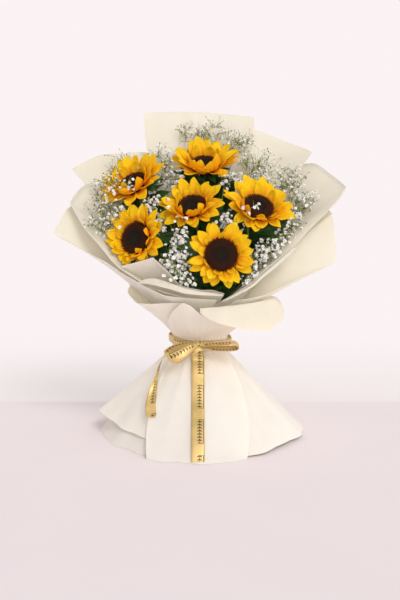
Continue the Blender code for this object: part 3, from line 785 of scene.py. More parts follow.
class RibbonSizes(bpy.types.PropertyGroup):
    """Width, colours and printed motif of the ribbon."""

    width: FloatProperty(
        name="Width",
        description="Width of the ribbon",
        default=0.0215,
        unit="LENGTH",
    )
    band: FloatProperty(
        name="Band width",
        description="Height of the band round the tie",
        default=0.0115,
        min=0.005,
        unit="LENGTH",
    )
    gold: FloatVectorProperty(
        name="Satin",
        description="Colour of the satin",
        default=(0.80, 0.58, 0.23),
        subtype="COLOR",
        size=3,
    )
    motif: FloatVectorProperty(
        name="Motif",
        description="Colour of the printed motif",
        default=(0.055, 0.028, 0.012),
        subtype="COLOR",
        size=3,
    )
    repeat: FloatProperty(
        name="Repeat",
        description="Length along the ribbon in which the motif comes round again",
        default=0.060,
        unit="LENGTH",
    )


class StageSizes(bpy.types.PropertyGroup):
    """Floor, backdrop, lights and the camera's place."""

    floor: FloatVectorProperty(
        name="Floor",
        description="Colour of the floor",
        default=(0.90, 0.845, 0.87),
        subtype="COLOR",
        size=3,
    )
    backdrop: FloatVectorProperty(
        name="Backdrop",
        description="Colour of the backdrop's sweep behind the floor",
        default=(0.90, 0.87, 0.87),
        subtype="COLOR",
        size=3,
    )
    surround: FloatVectorProperty(
        name="Surround",
        description="Light that comes from all round, and the colour seen far away",
        default=(0.965, 0.897, 0.902),
        subtype="COLOR",
        size=3,
    )
    overhead: FloatProperty(
        name="Overhead",
        description="Light from above as a share of the light from all round",
        default=0.64,
        min=0.0,
        subtype="FACTOR",
    )
    key: FloatProperty(
        name="Key light",
        description="Strength of the soft light from the right",
        default=1.05,
        min=0.0,
    )
    fill: FloatProperty(
        name="Fill light",
        description="Strength of the low light from the front",
        default=1.15,
        min=0.0,
    )
    camera_distance: FloatProperty(
        name="Camera distance",
        description="Distance of the camera in front of the tie",
        default=1.55,
        unit="LENGTH",
    )
    camera_height: FloatProperty(
        name="Camera height",
        description="Height of the camera above the floor",
        default=0.47,
        unit="LENGTH",
    )
    camera_pitch: FloatProperty(
        name="Camera pitch",
        description="How far the camera looks down",
        default=math.radians(9.0),
        subtype="ANGLE",
        unit="ROTATION",
    )


def polar(azimuth, radius, height):
    """The point at a place round the stems."""
    angle = math.radians(azimuth)
    return Vector((radius * math.sin(angle), -radius * math.cos(angle), height))


def link_piece(name, mesh, finishes, nodes=()):
    """Adds a piece to the bouquet, in place of the named solids."""
    piece = bpy.data.objects.new(name, mesh)
    bpy.context.scene.collection.objects.link(piece)
    for finish in finishes:
        mesh.materials.append(finish)
    mesh.shade_smooth()
    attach(piece, "root")
    if nodes:
        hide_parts(*nodes)
    return piece


def settled(piece):
    """The piece with its modifiers worked out."""
    bpy.context.view_layer.update()
    graph = bpy.context.evaluated_depsgraph_get()
    mesh = bpy.data.meshes.new_from_object(piece.evaluated_get(graph))
    piece.modifiers.clear()
    piece.data = mesh
    return piece


def thicken(piece, thickness, back_slot=0):
    """Gives a sheet its thickness, half to each side, and its other face a finish of its own."""
    solidify = piece.modifiers.new("thickness", "SOLIDIFY")
    solidify.thickness = thickness
    solidify.offset = 0.0
    solidify.material_offset = back_slot
    return settled(piece)


class Batch:
    """Points and faces of many small parts that make one mesh, with two marks on each point."""

    def __init__(self):
        self.points = []
        self.faces = []
        self.first = []
        self.second = []
        self.slots = []

    def add(self, points, faces, first=0.0, second=0.0, slot=0):
        start = len(self.points)
        self.points.extend(points)
        self.faces.extend([tuple(start + i for i in face) for face in faces])
        self.slots.extend([slot] * len(faces))
        count = len(points)
        self.first.extend(first if hasattr(first, "__len__") else [first] * count)
        self.second.extend(second if hasattr(second, "__len__") else [second] * count)

    def add_grid(self, grid, first, second=0.0, slot=0):
        """A grid of points, rows by columns, as a sheet of quads."""
        rows, columns = grid.shape[:2]
        faces = [
            (r * columns + c, r * columns + c + 1, (r + 1) * columns + c + 1, (r + 1) * columns + c)
            for r in range(rows - 1)
            for c in range(columns - 1)
        ]
        self.add(
            [tuple(p) for p in grid.reshape(-1, 3)],
            faces,
            list(np.broadcast_to(first, (rows, columns)).reshape(-1)),
            list(np.broadcast_to(second, (rows, columns)).reshape(-1)),
            slot,
        )

    def mesh(self, name, marks=("along", "across")):
        mesh = bpy.data.meshes.new(name)
        mesh.from_pydata([tuple(p) for p in self.points], [], self.faces)
        for label, values in zip(marks, (self.first, self.second)):
            mark = mesh.attributes.new(label, "FLOAT", "POINT")
            mark.data.foreach_set("value", np.asarray(values, np.float32))
        mesh.polygons.foreach_set("material_index", np.asarray(self.slots, np.int32))
        mesh.update()
        return mesh


def tube_into(batch, path, radii, sides, first=0.0, slot=0, cap=True):
    """A round stem along the points, with radii to match, into the batch."""
    path = [Vector(p) for p in path]
    points = []
    side = None
    for i, point in enumerate(path):
        ahead = path[min(i + 1, len(path) - 1)] - path[max(i - 1, 0)]
        ahead.normalize()
        if side is None:
            side = ahead.orthogonal().normalized()
        side = (side - ahead * side.dot(ahead)).normalized()
        other = ahead.cross(side)
        for k in range(sides):
            angle = 2 * math.pi * k / sides
            points.append(point + (side * math.cos(angle) + other * math.sin(angle)) * radii[i])
    faces = []
    for i in range(len(path) - 1):
        for k in range(sides):
            n = (k + 1) % sides
            faces.append((i * sides + k, i * sides + n, (i + 1) * sides + n, (i + 1) * sides + k))
    if cap:
        faces.append(tuple(range(sides))[::-1])
        faces.append(tuple((len(path) - 1) * sides + k for k in range(sides)))
    batch.add(points, faces, first, slot=slot)


# Finishes


class Finish:
    """A material, or a world, in the making. Each method adds one node and gives its output."""

    def __init__(self, name, library=None):
        self.holder = (bpy.data.materials if library is None else library).new(name)
        self.holder.use_nodes = True
        self.nodes = self.holder.node_tree.nodes
        self.links = self.holder.node_tree.links

    def feed(self, socket, value):
        """Gives a socket another node's output, a colour or a number."""
        if hasattr(value, "links"):
            self.links.new(value, socket)
        elif hasattr(value, "__len__"):
            socket.default_value = (*value[:3], 1.0)
        else:
            socket.default_value = value

    def node(self, kind, inputs, **settings):
        """A node with its settings made and its inputs fed."""
        node = self.nodes.new(kind)
        for name, value in settings.items():
            setattr(node, name, value)
        for name, value in inputs.items():
            self.feed(node.inputs[name], value)
        return node

    def mark(self, name):
        """A mark that the mesh carries on its points."""
        return self.node("ShaderNodeAttribute", {}, attribute_name=name).outputs["Fac"]

    def place(self, kind="Object"):
        return self.node("ShaderNodeTexCoord", {}).outputs[kind]

    def part(self, place, axis):
        return self.node("ShaderNodeSeparateXYZ", {"Vector": place}).outputs[axis]

    def noise(self, scale, detail=2.0, roughness=0.5, place=None):
        if place is None:
            place = self.place()
        inputs = {"Vector": place, "Scale": scale, "Detail": detail, "Roughness": roughness}
        return self.node("ShaderNodeTexNoise", inputs).outputs["Fac"]

    def streaks(self, x, y, scale, distortion=0.0):
        """Soft bands across X."""
        spot = self.node("ShaderNodeCombineXYZ", {"X": x, "Y": y}).outputs["Vector"]
        inputs = {"Vector": spot, "Scale": scale, "Distortion": distortion}
        return self.node("ShaderNodeTexWave", inputs, bands_direction="X").outputs["Fac"]

    def share(self, value, start, end, interpolation="LINEAR"):
        """How far the value has come from start to end, from 0 to 1."""
        inputs = {"Value": value, "From Min": start, "From Max": end}
        node = self.node("ShaderNodeMapRange", inputs, interpolation_type=interpolation)
        return node.outputs["Result"]

    def ramp(self, value, *stops):
        """A colour for the value, from stops that each have a place and a colour or a grey."""
        node = self.node("ShaderNodeValToRGB", {"Fac": value})
        elements = node.color_ramp.elements
        while len(elements) < len(stops):
            elements.new(0.5)
        for element, (place, colour) in zip(elements, stops):
            element.position = place
            element.color = (*colour, 1.0) if hasattr(colour, "__len__") else (*[colour] * 3, 1.0)
        return node.outputs["Color"]

    def mix(self, share, first, second, blend="MIX"):
        inputs = {0: share, 6: first, 7: second}
        node = self.node("ShaderNodeMix", inputs, data_type="RGBA", blend_type=blend)
        return node.outputs[2]

    def shade(self, colour, tone, share=1.0):
        """The colour, darkened or tinted by the tone."""
        return self.mix(share, colour, tone, "MULTIPLY")

    def math(self, operation, *values):
        node = self.node("ShaderNodeMath", dict(enumerate(values)), operation=operation)
        return node.outputs[0]

    def distance(self, value, middle):
        return self.math("ABSOLUTE", self.math("SUBTRACT", value, middle))

    def bump(self, height, distance, strength, below=None):
        """Roughens the shader by a height, on top of the bump given as below."""
        inputs = {"Height": height, "Distance": distance, "Strength": strength}
        if below is not None:
            inputs["Normal"] = below
        normal = self.node("ShaderNodeBump", inputs).outputs["Normal"]
        self.links.new(normal, self.nodes["Principled BSDF"].inputs["Normal"])
        return normal

    def done(self, colour, constants):
        """The material, with its colour and the shader's constant values."""
        shader = self.nodes["Principled BSDF"]
        self.links.new(colour, shader.inputs["Base Color"])
        for name, value in constants.items():
            shader.inputs[name].default_value = value
        return self.holder


def paper_finish(name, colour, gather_shade):
    """Matt florist's sheet: a fine tooth, slow shading from handling, painted warm shade in the
    gathers at the tie, painted shade that darkens it above the skirt, and a faint painted glow.
    """
    finish = Finish(name)
    place = finish.place()
    darker = tuple(0.93 * c for c in colour)
    lighter = tuple(min(1.0, 1.05 * c) for c in colour)
    handled = finish.ramp(finish.noise(9.0, 3.0, 0.55, place), (0.30, darker), (0.70, lighter))
    # Painted shade: the gathers at the tie take the warm, darker colour.
    gather_shaded = finish.mix(finish.mark("gathers"), handled, gather_shade)
    # Painted shade: the sheet is darker above the skirt, so that the lower skirt looks lit by light
    # from the floor.
    upper_shade = finish.ramp(finish.part(place, "Z"), (0.17, 1.0), (0.25, 0.91))
    fibre = finish.noise(420.0, 4.0, 0.65, place)
    speck = finish.ramp(fibre, (0.35, (0.97, 0.97, 0.96)), (0.65, 1.0))
    crumple = finish.bump(finish.noise(26.0, 3.0, 0.5, place), 0.0022, 0.35)
    finish.bump(fibre, 0.00008, 0.5, below=crumple)
    constants = {
        "Subsurface Weight": 0.5,
        "Subsurface Radius": (1.0, 0.9, 0.7),
        "Subsurface Scale": 0.003,
        "Roughness": 0.62,
        "Specular IOR Level": 0.32,
        "Sheen Weight": 0.12,
        "Sheen Roughness": 0.5,
        # Painted glow: the sheet gives off a faint light in its own colour.
        "Emission Color": (*colour, 1.0),
        "Emission Strength": 0.05,
    }
    return finish.done(finish.shade(finish.shade(gather_shaded, upper_shade), speck), constants)


def petal_finish(name, tip, root):
    """A petal: orange at its root, deepened there by painted shade, and golden beyond, with fine
    streaks along it and a faint painted glow.
    """
    finish = Finish(name)
    along = finish.mark("along")
    pale = tuple(min(1.0, c * 1.04 + 0.02 * (i == 1)) for i, c in enumerate(tip))
    middle = tuple(0.45 * r + 0.55 * c for r, c in zip(root, tip))
    # Partly painted shade: the root colour darkens the petal where it meets the disc.
    base = finish.ramp(along, (0.04, root), (0.26, middle), (0.55, tip), (1.0, pale))
    slow_along = finish.math("MULTIPLY", along, 0.35)
    streak = finish.streaks(finish.mark("across"), slow_along, 2.6, 1.2)
    streaked = finish.shade(base, finish.ramp(streak, (0.0, (0.90, 0.74, 0.70)), (0.6, 1.0)), 0.8)
    patch = finish.ramp(finish.noise(45.0), (0.3, (0.95, 0.80, 0.9)), (0.7, (1.0, 1.06, 1.0)))
    finish.bump(streak, 0.00025, 0.6)
    constants = {
        "Subsurface Weight": 0.35,
        "Subsurface Radius": (1.0, 0.6, 0.1),
        "Subsurface Scale": 0.002,
        # Painted glow: the petals give off a faint orange light.
        "Emission Color": (1.0, 0.55, 0.02, 1.0),
        "Emission Strength": 0.03,
        "Roughness": 0.6,
        "Specular IOR Level": 0.12,
    }
    return finish.done(finish.shade(streaked, patch), constants)


def disc_finish(name):
    """The disc: near black in the middle, dark brown, then red-brown florets with amber tips."""
    finish = Finish(name)
    ring = finish.mark("along")
    low = finish.ramp(
        ring,
        (0.0, (0.008, 0.007, 0.005)),
        (0.45, (0.012, 0.006, 0.004)),
        (1.0, (0.035, 0.010, 0.004)),
    )
    high = finish.ramp(
        ring,
        (0.0, (0.030, 0.026, 0.012)),
        (0.40, (0.030, 0.012, 0.006)),
        (0.74, (0.105, 0.028, 0.008)),
        (1.0, (0.20, 0.062, 0.010)),
    )
    base = finish.mix(finish.mark("across"), low, high)
    grain = finish.noise(900.0)
    tone = finish.ramp(grain, (0.3, 0.6), (0.7, (1.3, 1.25, 1.2)))
    finish.bump(grain, 0.0003, 0.6)
    return finish.done(finish.shade(base, tone), {"Roughness": 0.85, "Specular IOR Level": 0.2})


def mottled(finish, colour):
    """The green of a leaf or stem, darker and lighter in slow patches."""
    darker = tuple(0.7 * c for c in colour)
    lighter = tuple(1.35 * c for c in colour)
    return finish.ramp(finish.noise(60.0, 3.0), (0.3, darker), (0.7, lighter))


def stem_finish(name, colour):
    """Stem green with fine furrows."""
    finish = Finish(name)
    finish.bump(finish.noise(380.0, 3.0), 0.0003, 0.6)
    return finish.done(mottled(finish, colour), {"Roughness": 0.55})


def leaf_finish(name, colour):
    """Leaf green with a pale middle rib and slanting side veins."""
    finish = Finish(name)
    width = finish.math("ABSOLUTE", finish.mark("across"))
    slant = finish.math("SUBTRACT", finish.math("MULTIPLY", finish.mark("along"), 8.0), width)
    side_veins = finish.math("LESS_THAN", finish.math("FRACT", slant), 0.10)
    middle_rib = finish.math("LESS_THAN", width, 0.05)
    veins = finish.math("MAXIMUM", side_veins, middle_rib)
    pale = tuple(min(1.0, 2.6 * c + 0.01) for c in colour)
    coloured = finish.mix(finish.math("MULTIPLY", veins, 0.45), mottled(finish, colour), pale)
    finish.bump(veins, 0.0004, -0.5)
    return finish.done(coloured, {"Roughness": 0.45, "Specular IOR Level": 0.4})


def floret_finish(name, white):
    """White florets, a little green deep inside, with a faint painted glow."""
    finish = Finish(name)
    base = finish.ramp(finish.mark("along"), (0.0, (0.50, 0.56, 0.36)), (0.35, white), (1.0, white))
    tone = finish.ramp(finish.noise(140.0, 1.0), (0.3, (0.88, 0.88, 0.86)), (0.6, 1.0))
    constants = {
        "Roughness": 0.6,
        "Specular IOR Level": 0.2,
        # Painted glow: the florets give off a faint white light.
        "Emission Color": (1.0, 1.0, 0.97, 1.0),
        "Emission Strength": 0.05,
    }
    return finish.done(finish.shade(base, tone), constants)


def twig_finish(name, colour):
    """Fine green twigs, browner towards the buds."""
    finish = Finish(name)
    brown = (0.10, 0.075, 0.045)
    base = finish.ramp(finish.mark("along"), (0.0, colour), (0.75, colour), (1.0, brown))
    slow = finish.noise(90.0)
    tone = finish.ramp(slow, (0.3, 0.8), (0.7, (1.2, 1.2, 1.1)))
    finish.bump(slow, 0.0002, 0.4)
    return finish.done(finish.shade(base, tone), {"Roughness": 0.6})


def printed_motif(finish, along, across, repeat):
    """Where the ribbon is printed: a row of small sprigs between brackets, beside a line."""
    turn = finish.math("FRACT", finish.math("DIVIDE", along, repeat))
    started = finish.math("GREATER_THAN", turn, 0.16)
    ended = finish.math("LESS_THAN", turn, 0.84)
    side = finish.distance(across, 0.24)
    slant = finish.math("MULTIPLY", side, 0.95)
    leaf = finish.math("SUBTRACT", finish.math("MULTIPLY", along, 190.0), slant)
    leaf = finish.math("LESS_THAN", finish.math("FRACT", leaf), 0.40)
    sprig = finish.math("MULTIPLY", leaf, finish.math("LESS_THAN", side, 0.32))
    stalk = finish.math("LESS_THAN", side, 0.04)
    bracket = finish.math("GREATER_THAN", finish.distance(turn, 0.5), 0.325)
    reach = finish.math("LESS_THAN", finish.distance(across, 0.45), 0.38)
    bracket = finish.math("MULTIPLY", bracket, reach)
    line = finish.math("LESS_THAN", finish.distance(across, 0.80), 0.05)
    motif = finish.math("MAXIMUM", finish.math("MAXIMUM", sprig, stalk), line)
    motif = finish.math("MAXIMUM", motif, bracket)
    motif = finish.math("MULTIPLY", motif, finish.math("MULTIPLY", started, ended))
    return finish.math("MULTIPLY", motif, 0.92)


def ribbon_finish(name, gold, motif, repeat):
    """Gold satin with a fine weave, slow patches of olive tone and painted fold shade, and its
    printed motif.
    """
    finish = Finish(name)
    along = finish.mark("along")
    # Partly painted shade: slow random patches darken the satin to an olive gold, standing in both
    # for its tone and for the shade in its folds.
    olive_and_fold_shade = tuple(share * c for share, c in zip((0.76, 0.78, 0.66), gold))
    base = finish.ramp(finish.noise(40.0), (0.30, olive_and_fold_shade), (0.62, gold))
    mask = printed_motif(finish, along, finish.mark("across"), repeat)
    finish.bump(finish.streaks(along, 0.0, 900.0), 0.00005, 0.4)
    constants = {"Metallic": 0.45, "Roughness": 0.32, "Sheen Weight": 0.25, "Anisotropic": 0.5}
    return finish.done(finish.mix(mask, base, motif), constants)


def twine_finish(name):
    """Rough brown twine."""
    finish = Finish(name)
    fibre = finish.noise(700.0, 4.0, 0.7)
    base = finish.ramp(fibre, (0.3, (0.20, 0.12, 0.05)), (0.7, (0.50, 0.36, 0.20)))
    finish.bump(fibre, 0.0006, 0.8)
    return finish.done(base, {"Roughness": 0.9})


# The wrap


def smooth_between(table, places, corners=(), ease=0.36):
    """Values at fractional places along a table of rows, on a smooth curve through the rows that
    turns sharply at the corners. The ease is how far the curve swings out between two rows."""
    table = np.asarray(table, float)
    last = len(table) - 1
    low = np.clip(np.floor(places).astype(int), 0, last - 1)
    t = (np.asarray(places) - low)[:, None]
    swing = np.full(len(table), ease)
    swing[list(corners)] = 0.0
    a = table[np.clip(low - 1, 0, last)]
    b = table[low]
    c = table[low + 1]
    d = table[np.clip(low + 2, 0, last)]
    into = swing[low][:, None] * (c - a)
    away = swing[low + 1][:, None] * (d - b)
    return (
        (2 * t**3 - 3 * t**2 + 1) * b
        + (t**3 - 2 * t**2 + t) * into
        + (-2 * t**3 + 3 * t**2) * c
        + (t**3 - t**2) * away
    )


def bend(start, middle, end, t):
    """A place on the curve from start to end that the middle draws towards itself."""
    return (1 - t) ** 2 * start + 2 * t * (1 - t) * middle + t**2 * end


def fold_depth(azimuth, height, pleat):
    """How far the sheets stand out at a place: fine pleats at the tie, slow folds beyond it."""
    angle = np.radians(azimuth)
    near = np.exp(-(((height - TIE_HEIGHT) / 0.030) ** 2))
    fine = pleat * near * np.sin(41 * angle + 0.8 * np.sin(3 * angle))
    down = np.clip((BAND_FOOT - height) / BAND_FOOT, 0, 1)
    skirt = down**1.3 * (0.0020 * np.sin(11 * angle + 0.7) + 0.0012 * np.sin(19 * angle + 2.0))
    spread = np.clip(down * 5, 0, 1) * (1 - down) ** 2
    skirt += 0.0011 * spread * np.sin(27 * angle + np.sin(5 * angle))
    up = np.clip((height - BAND_TOP) / 0.26, 0, 1)
    rise = up * (0.0020 * np.sin(8 * angle + 9 * up) + 0.0011 * np.sin(15 * angle - 6 * up + 1.0))
    rise += 0.0010 * np.clip(up * 6, 0, 1) * (1 - up) ** 2 * np.sin(25 * angle + 1.4)
    return fine + skirt + rise


def sheet_places(spec):
    """The sheet as a grid of places round the stems: azimuth, radius and height."""
    layer_radius = FIRST_SHEET_RADIUS + SHEET_STEP * spec["layer"]
    ribs = spec["ribs"]
    has_hem = len(ribs[0]) > 2
    lips = spec.get("lip")
    table = []
    for i, rib in enumerate(ribs):
        row = [rib[0], *rib[1]]
        row += rib[2] if has_hem else ()
        row += lips[i] if lips else ()
        table.append(row)
    places = np.linspace(0, len(ribs) - 1, (len(ribs) - 1) * COLUMNS_PER_RIB + 1)
    corners = smooth_between(table, places, spec.get("corners", ()))
    table = smooth_between(table, places)
    table[:, 1:4] = corners[:, 1:4]
    count = len(table)
    tie = table[:, 0]
    rim = table[:, 1:4]
    belly = spec["belly"]
    radius = np.full(count, layer_radius)
    foot = np.stack([tie, radius, np.full(count, BAND_FOOT)], axis=1)
    start = np.stack([tie, radius, np.full(count, BAND_TOP)], axis=1)
    rows = []
    if has_hem:
        hem = table[:, 4:7]
        middle = (hem + foot) / 2
        rows += [bend(hem, middle, foot, i / ROWS_DOWN) for i in range(ROWS_DOWN)]
    rows += [foot, (foot + start) / 2]
    middle = np.stack(
        [
            tie + 0.35 * (rim[:, 0] - tie),
            radius + belly[0] * (rim[:, 1] - radius),
            BAND_TOP + belly[1] * (rim[:, 2] - BAND_TOP),
        ],
        axis=1,
    )
    rows += [bend(start, middle, rim, i / ROWS_UP) for i in range(ROWS_UP + 1)]
    if lips:
        lip = table[:, -3:]
        crest = 0.4 * rim + 0.6 * lip
        reach = np.hypot(lip[:, 1] - rim[:, 1], lip[:, 2] - rim[:, 2])
        crest[:, 2] = np.maximum(rim[:, 2], lip[:, 2]) + np.minimum(0.006, 0.55 * reach)
        rows += [bend(rim, crest, lip, i / ROWS_OF_LIP) for i in range(1, ROWS_OF_LIP + 1)]
    if "turned" in spec:
        ahead = rim - rows[-2]
        ahead[:, 0] = 0.0
        ahead /= np.linalg.norm(ahead, axis=1)[:, None]
        outward = np.stack([ahead[:, 0], ahead[:, 2], -ahead[:, 1]], axis=1)
        half, whole = 0.5 * spec["turned"], spec["turned"]
        for stand, back in ((0.0005, -0.0004), (0.0012, 0.0002), (0.0014, half), (0.0013, whole)):
            rows.append(rim + outward * stand - ahead * back)
    return np.stack(rows)


def sheet_points(places, pleat):
    """Points of the grid, with the folds and with the hem kept above the floor."""
    azimuth = places[..., 0]
    height = places[..., 2]
    radius = places[..., 1] + fold_depth(azimuth, height, pleat)
    angle = np.radians(azimuth)
    height = np.maximum(height, LOWEST_HEM)
    return np.stack([radius * np.sin(angle), -radius * np.cos(angle), height], axis=-1)


def grid_area(grid):
    """Area of a grid of points, and the lengths of its widest row and its longest column."""
    a, b, c, d = grid[:-1, :-1], grid[:-1, 1:], grid[1:, 1:], grid[1:, :-1]
    halves = np.linalg.norm(np.cross(b - a, c - a), axis=-1)
    halves += np.linalg.norm(np.cross(c - a, d - a), axis=-1)
    rows = np.linalg.norm(np.diff(grid, axis=1), axis=-1).sum(axis=1)
    columns = np.linalg.norm(np.diff(grid, axis=0), axis=-1).sum(axis=0)
    return float(halves.sum() / 2), float(rows.max()), float(columns.max())


def build_sheet(name, spec, sizes, finishes, nodes=()):
    """One sheet of the wrap, with painted warm shade where the tie gathers it."""
    places = sheet_places(spec)
    grid = sheet_points(places, sizes.pleat)
    # Painted shade: how strongly each point takes the warm shade of the gathers, most at the tie.
    near_tie = np.exp(-(((places[..., 2] - TIE_HEIGHT) / 0.035) ** 2))
    batch = Batch()
    batch.add_grid(grid, 0.75 * near_tie)
    mesh = batch.mesh(name, ["gathers"])
    piece = link_piece(name + "_sheet", mesh, finishes, nodes)
    thicken(piece, sizes.thickness, 1).data.set_sharp_from_angle(angle=CORNER_ANGLE)
    area, width, length = grid_area(grid)


class BOUQUET_OT_wrap(bpy.types.Operator):
    """Build the sheets of the wrap with their roll and pleat, gathered at the tie"""

    bl_idname = "bouquet.wrap"
    bl_label = "Wrap"

    def execute(self, context):
        sizes = context.scene.bouquet_paper
        finishes = (
            paper_finish("paper outside", sizes.outside, sizes.gather_shade),
            # Partly painted shade: the inside finish is darkened for the shade inside the wrap.
            paper_finish("paper inside", sizes.inside, sizes.gather_shade),
        )
        for name, spec in SHEETS.items():
            build_sheet(name, spec, sizes, finishes, [name])
        build_sheet("paper_front_roll", ROLLED_FOLD, sizes, finishes)
        build_sheet("paper_right_pleat", EDGE_PLEAT, sizes, finishes)
        return {"FINISHED"}


# The ribbon


def panel_radius(height):
    """Radius of the front panel's outer face below the tie."""
    top = FIRST_SHEET_RADIUS + SHEET_STEP * FRONT_PANEL_LAYER + PANEL_STAND
    return top + (BAND_FOOT - height) * (PANEL_HEM_RADIUS - top) / BAND_FOOT


def smooth_path(points, steps):
    """A smooth curve through the points, with so many steps from each one to the next."""
    places = np.linspace(0, len(points) - 1, (len(points) - 1) * steps + 1)
    return smooth_between(points, places, ease=0.5)


def link_satin(name, grid, run, across, finish, nodes=()):
    """A sheet of satin from its grid of points, with the marks that its print follows."""
    batch = Batch()
    batch.add_grid(grid, run, across)
    piece = link_piece(name, batch.mesh(name), [finish], nodes)
    thicken(piece, SATIN_THICKNESS)
    area, *sides = grid_area(grid)
    width, length = min(sides), max(sides)
    area = min(area, width * length)


def ribbon_strip(name, path, across, widths, finish, sag):
    """A strip of satin whose middle follows the path, with a soft crown across it."""
    across = across / np.linalg.norm(across, axis=1)[:, None]
    ahead = np.gradient(path, axis=0)
    ahead /= np.linalg.norm(ahead, axis=1)[:, None]
    face = np.cross(across, ahead)
    shares = np.linspace(-1, 1, RIBBON_COLUMNS)
    columns = []
    for share in shares:
        crown = sag * (1 - share**2)
        columns.append(path + across * (0.5 * share * widths[:, None]) + face * crown)
    run = np.concatenate([[0], np.cumsum(np.linalg.norm(np.diff(path, axis=0), axis=1))])
    link_satin(name, np.stack(columns, axis=1), run[:, None], shares, finish)


def build_band(sizes, finish):
    """The band round the tie, softly creased along its length and a little aslant."""
    angle = np.radians(np.linspace(-180, 180, BAND_STEPS + 1))
    middle = TIE_HEIGHT + 0.0016 - 0.0030 * np.sin(angle) + 0.0006 * np.sin(4 * angle)
    shares = np.linspace(-1, 1, RIBBON_COLUMNS)
    rows = []
    for share in shares:
        crease = 0.00035 * np.cos(3 * math.pi * share)
        radius = BAND_RADIUS + crease + 0.0003 * np.sin(9 * angle + share)
        height = middle + share * 0.5 * sizes.band
        rows.append(np.stack([radius * np.sin(angle), -radius * np.cos(angle), height], axis=-1))
    run = angle * BAND_RADIUS
    across = shares[:, None]
    link_satin(
        "ribbon_band_satin", np.stack(rows), run, across, finish, ["ribbon_band"]
    )


def build_knot(finish):
    """The knot: a turn of ribbon pulled tight over the middle of the bow, pinched at its ends."""
    around, along = 40, 12
    shares = np.linspace(-1, 1, along + 1)
    rows = []
    for share in shares:
        half_height = 0.0066 - 0.0016 * share**2
        half_depth = 0.0044 - 0.0012 * share**2
        row = []
        for k in range(around + 1):
            angle = 2 * math.pi * k / around
            crease = 1 + 0.05 * math.cos(5 * angle + share) + 0.03 * math.cos(11 * angle)
            x = 0.0062 * share + 0.0014 * math.sin(angle)
            y = half_depth * math.cos(angle) * crease
            z = half_height * math.sin(angle) * crease
            row.append((x, y, z))
        rows.append(row)
    grid = np.asarray(rows) + KNOT_CENTRE
    batch = Batch()
    batch.add_grid(grid, np.linspace(0, KNOT_RUN, around + 1), shares[:, None])
    link_piece("ribbon_knot", batch.mesh("ribbon_knot"), [finish], ["ribbon_bow"])


def build_shaped_strip(name, sizes, finish):
    """A loop or tail from the table of the bow's strips."""
    points, (places, shares), (turning_places, *turning), sag = BOW_STRIPS[name]
    path = smooth_path(points, 7)
    run = np.linspace(0, 1, len(path))
    across = np.stack([np.interp(run, turning_places, row) for row in turning], axis=1)
    ribbon_strip(name, path, across, sizes.width * np.interp(run, places, shares), finish, sag)


def build_front_tail(sizes, finish):
    """The tail that hangs down the front panel and waves a little off it."""
    points = [(-0.0020, -0.0630, 0.1605), (-0.0030, -0.0650, 0.1500)]
    for height in (0.138, 0.124, 0.108, 0.090, 0.070, 0.050, 0.028, 0.014, 0.0035):
        stand = 0.0024 + 0.0016 * math.sin(height * 60)
        points.append((-0.0032, -(panel_radius(height) + stand), height))
    path = smooth_path(points, 8)
    run = np.linspace(0, 1, len(path))
    across = np.stack([np.ones_like(run), 0.06 * np.sin(7 * run), np.zeros_like(run)], axis=1)
    widths = sizes.width * np.interp(run, [0, 0.07, 0.16, 1], [0.34, 0.80, 0.97, 0.97])
    ribbon_strip("ribbon_tail_front", path, across, widths, finish, -0.0005)


class BOUQUET_OT_ribbon(bpy.types.Operator):
    """Build the band round the tie, the knot, the bow's loops and the tails"""

    bl_idname = "bouquet.ribbon"
    bl_label = "Ribbon"

    def execute(self, context):
        sizes = context.scene.bouquet_ribbon
        finish = ribbon_finish("gold satin", sizes.gold, sizes.motif, sizes.repeat)
        build_band(sizes, finish)
        build_knot(finish)
        build_shaped_strip("ribbon_loop_right", sizes, finish)
        build_shaped_strip("ribbon_loop_left", sizes, finish)
        build_front_tail(sizes, finish)
        build_shaped_strip("ribbon_tail_left", sizes, finish)
        return {"FINISHED"}


class BOUQUET_OT_twine(bpy.types.Operator):
    """Build the three turns of twisted twine that bind the stems"""

    bl_idname = "bouquet.twine"
    bl_label = "Twine"

    def execute(self, context):
        batch = Batch()
        steps = 260
        for strand in range(2):
            path = []
            for i in range(steps + 1):
                turns = TWINE_TURNS * i / steps
                twist = turns * 2 * math.pi * TWISTS_PER_TURN + strand * math.pi
                radius = TWINE_RADIUS + STRAND_RADIUS * math.cos(twist)
                rise = (turns - TWINE_TURNS / 2) * TWINE_PITCH
                height = TIE_HEIGHT + rise + STRAND_RADIUS * math.sin(twist)
                path.append(polar(360 * turns, radius, height))
            tube_into(batch, path, [STRAND_RADIUS] * len(path), 6)
        mesh = batch.mesh("twine_turns")
        link_piece("twine_turns", mesh, [twine_finish("jute twine")], ["stem_twine"])
        return {"FINISHED"}


# The sunflowers


def bloom_frame(centre, facing):
    """The bloom's own frame: its face looks along local Z."""
    turn = Vector(facing).to_track_quat("Z", "Y").to_matrix().to_4x4()
    return Matrix.Translation(centre) @ turn


def moved(frame_matrix, grid):
    """The grid of points, taken from a bloom's own frame to its place."""
    turn = np.array(frame_matrix.to_3x3())
    return grid @ turn.T + np.array(frame_matrix.translation)


def wrap_tree():
    """One search tree of the wrap's sheets, or of their solids before the sheets are built."""
    points = []
    faces = []
    for name in [*SHEETS, "paper_front_roll"]:
        piece = bpy.data.objects.get(name + "_sheet") or frame["nodes"].get(name)
        if piece is None:
            continue
        start = len(points)
        points += [v.co.copy() for v in piece.data.vertices]
        faces += [tuple(start + i for i in polygon.vertices) for polygon in piece.data.polygons]
    return BVHTree.FromPolygons(points, faces)


def meets(wrap, start, end, margin):
    """Whether the straight way from start to end, and on by the margin, meets a sheet."""
    way = end - start
    return wrap.ray_cast(start, way.normalized(), way.length + margin)[0] is not None


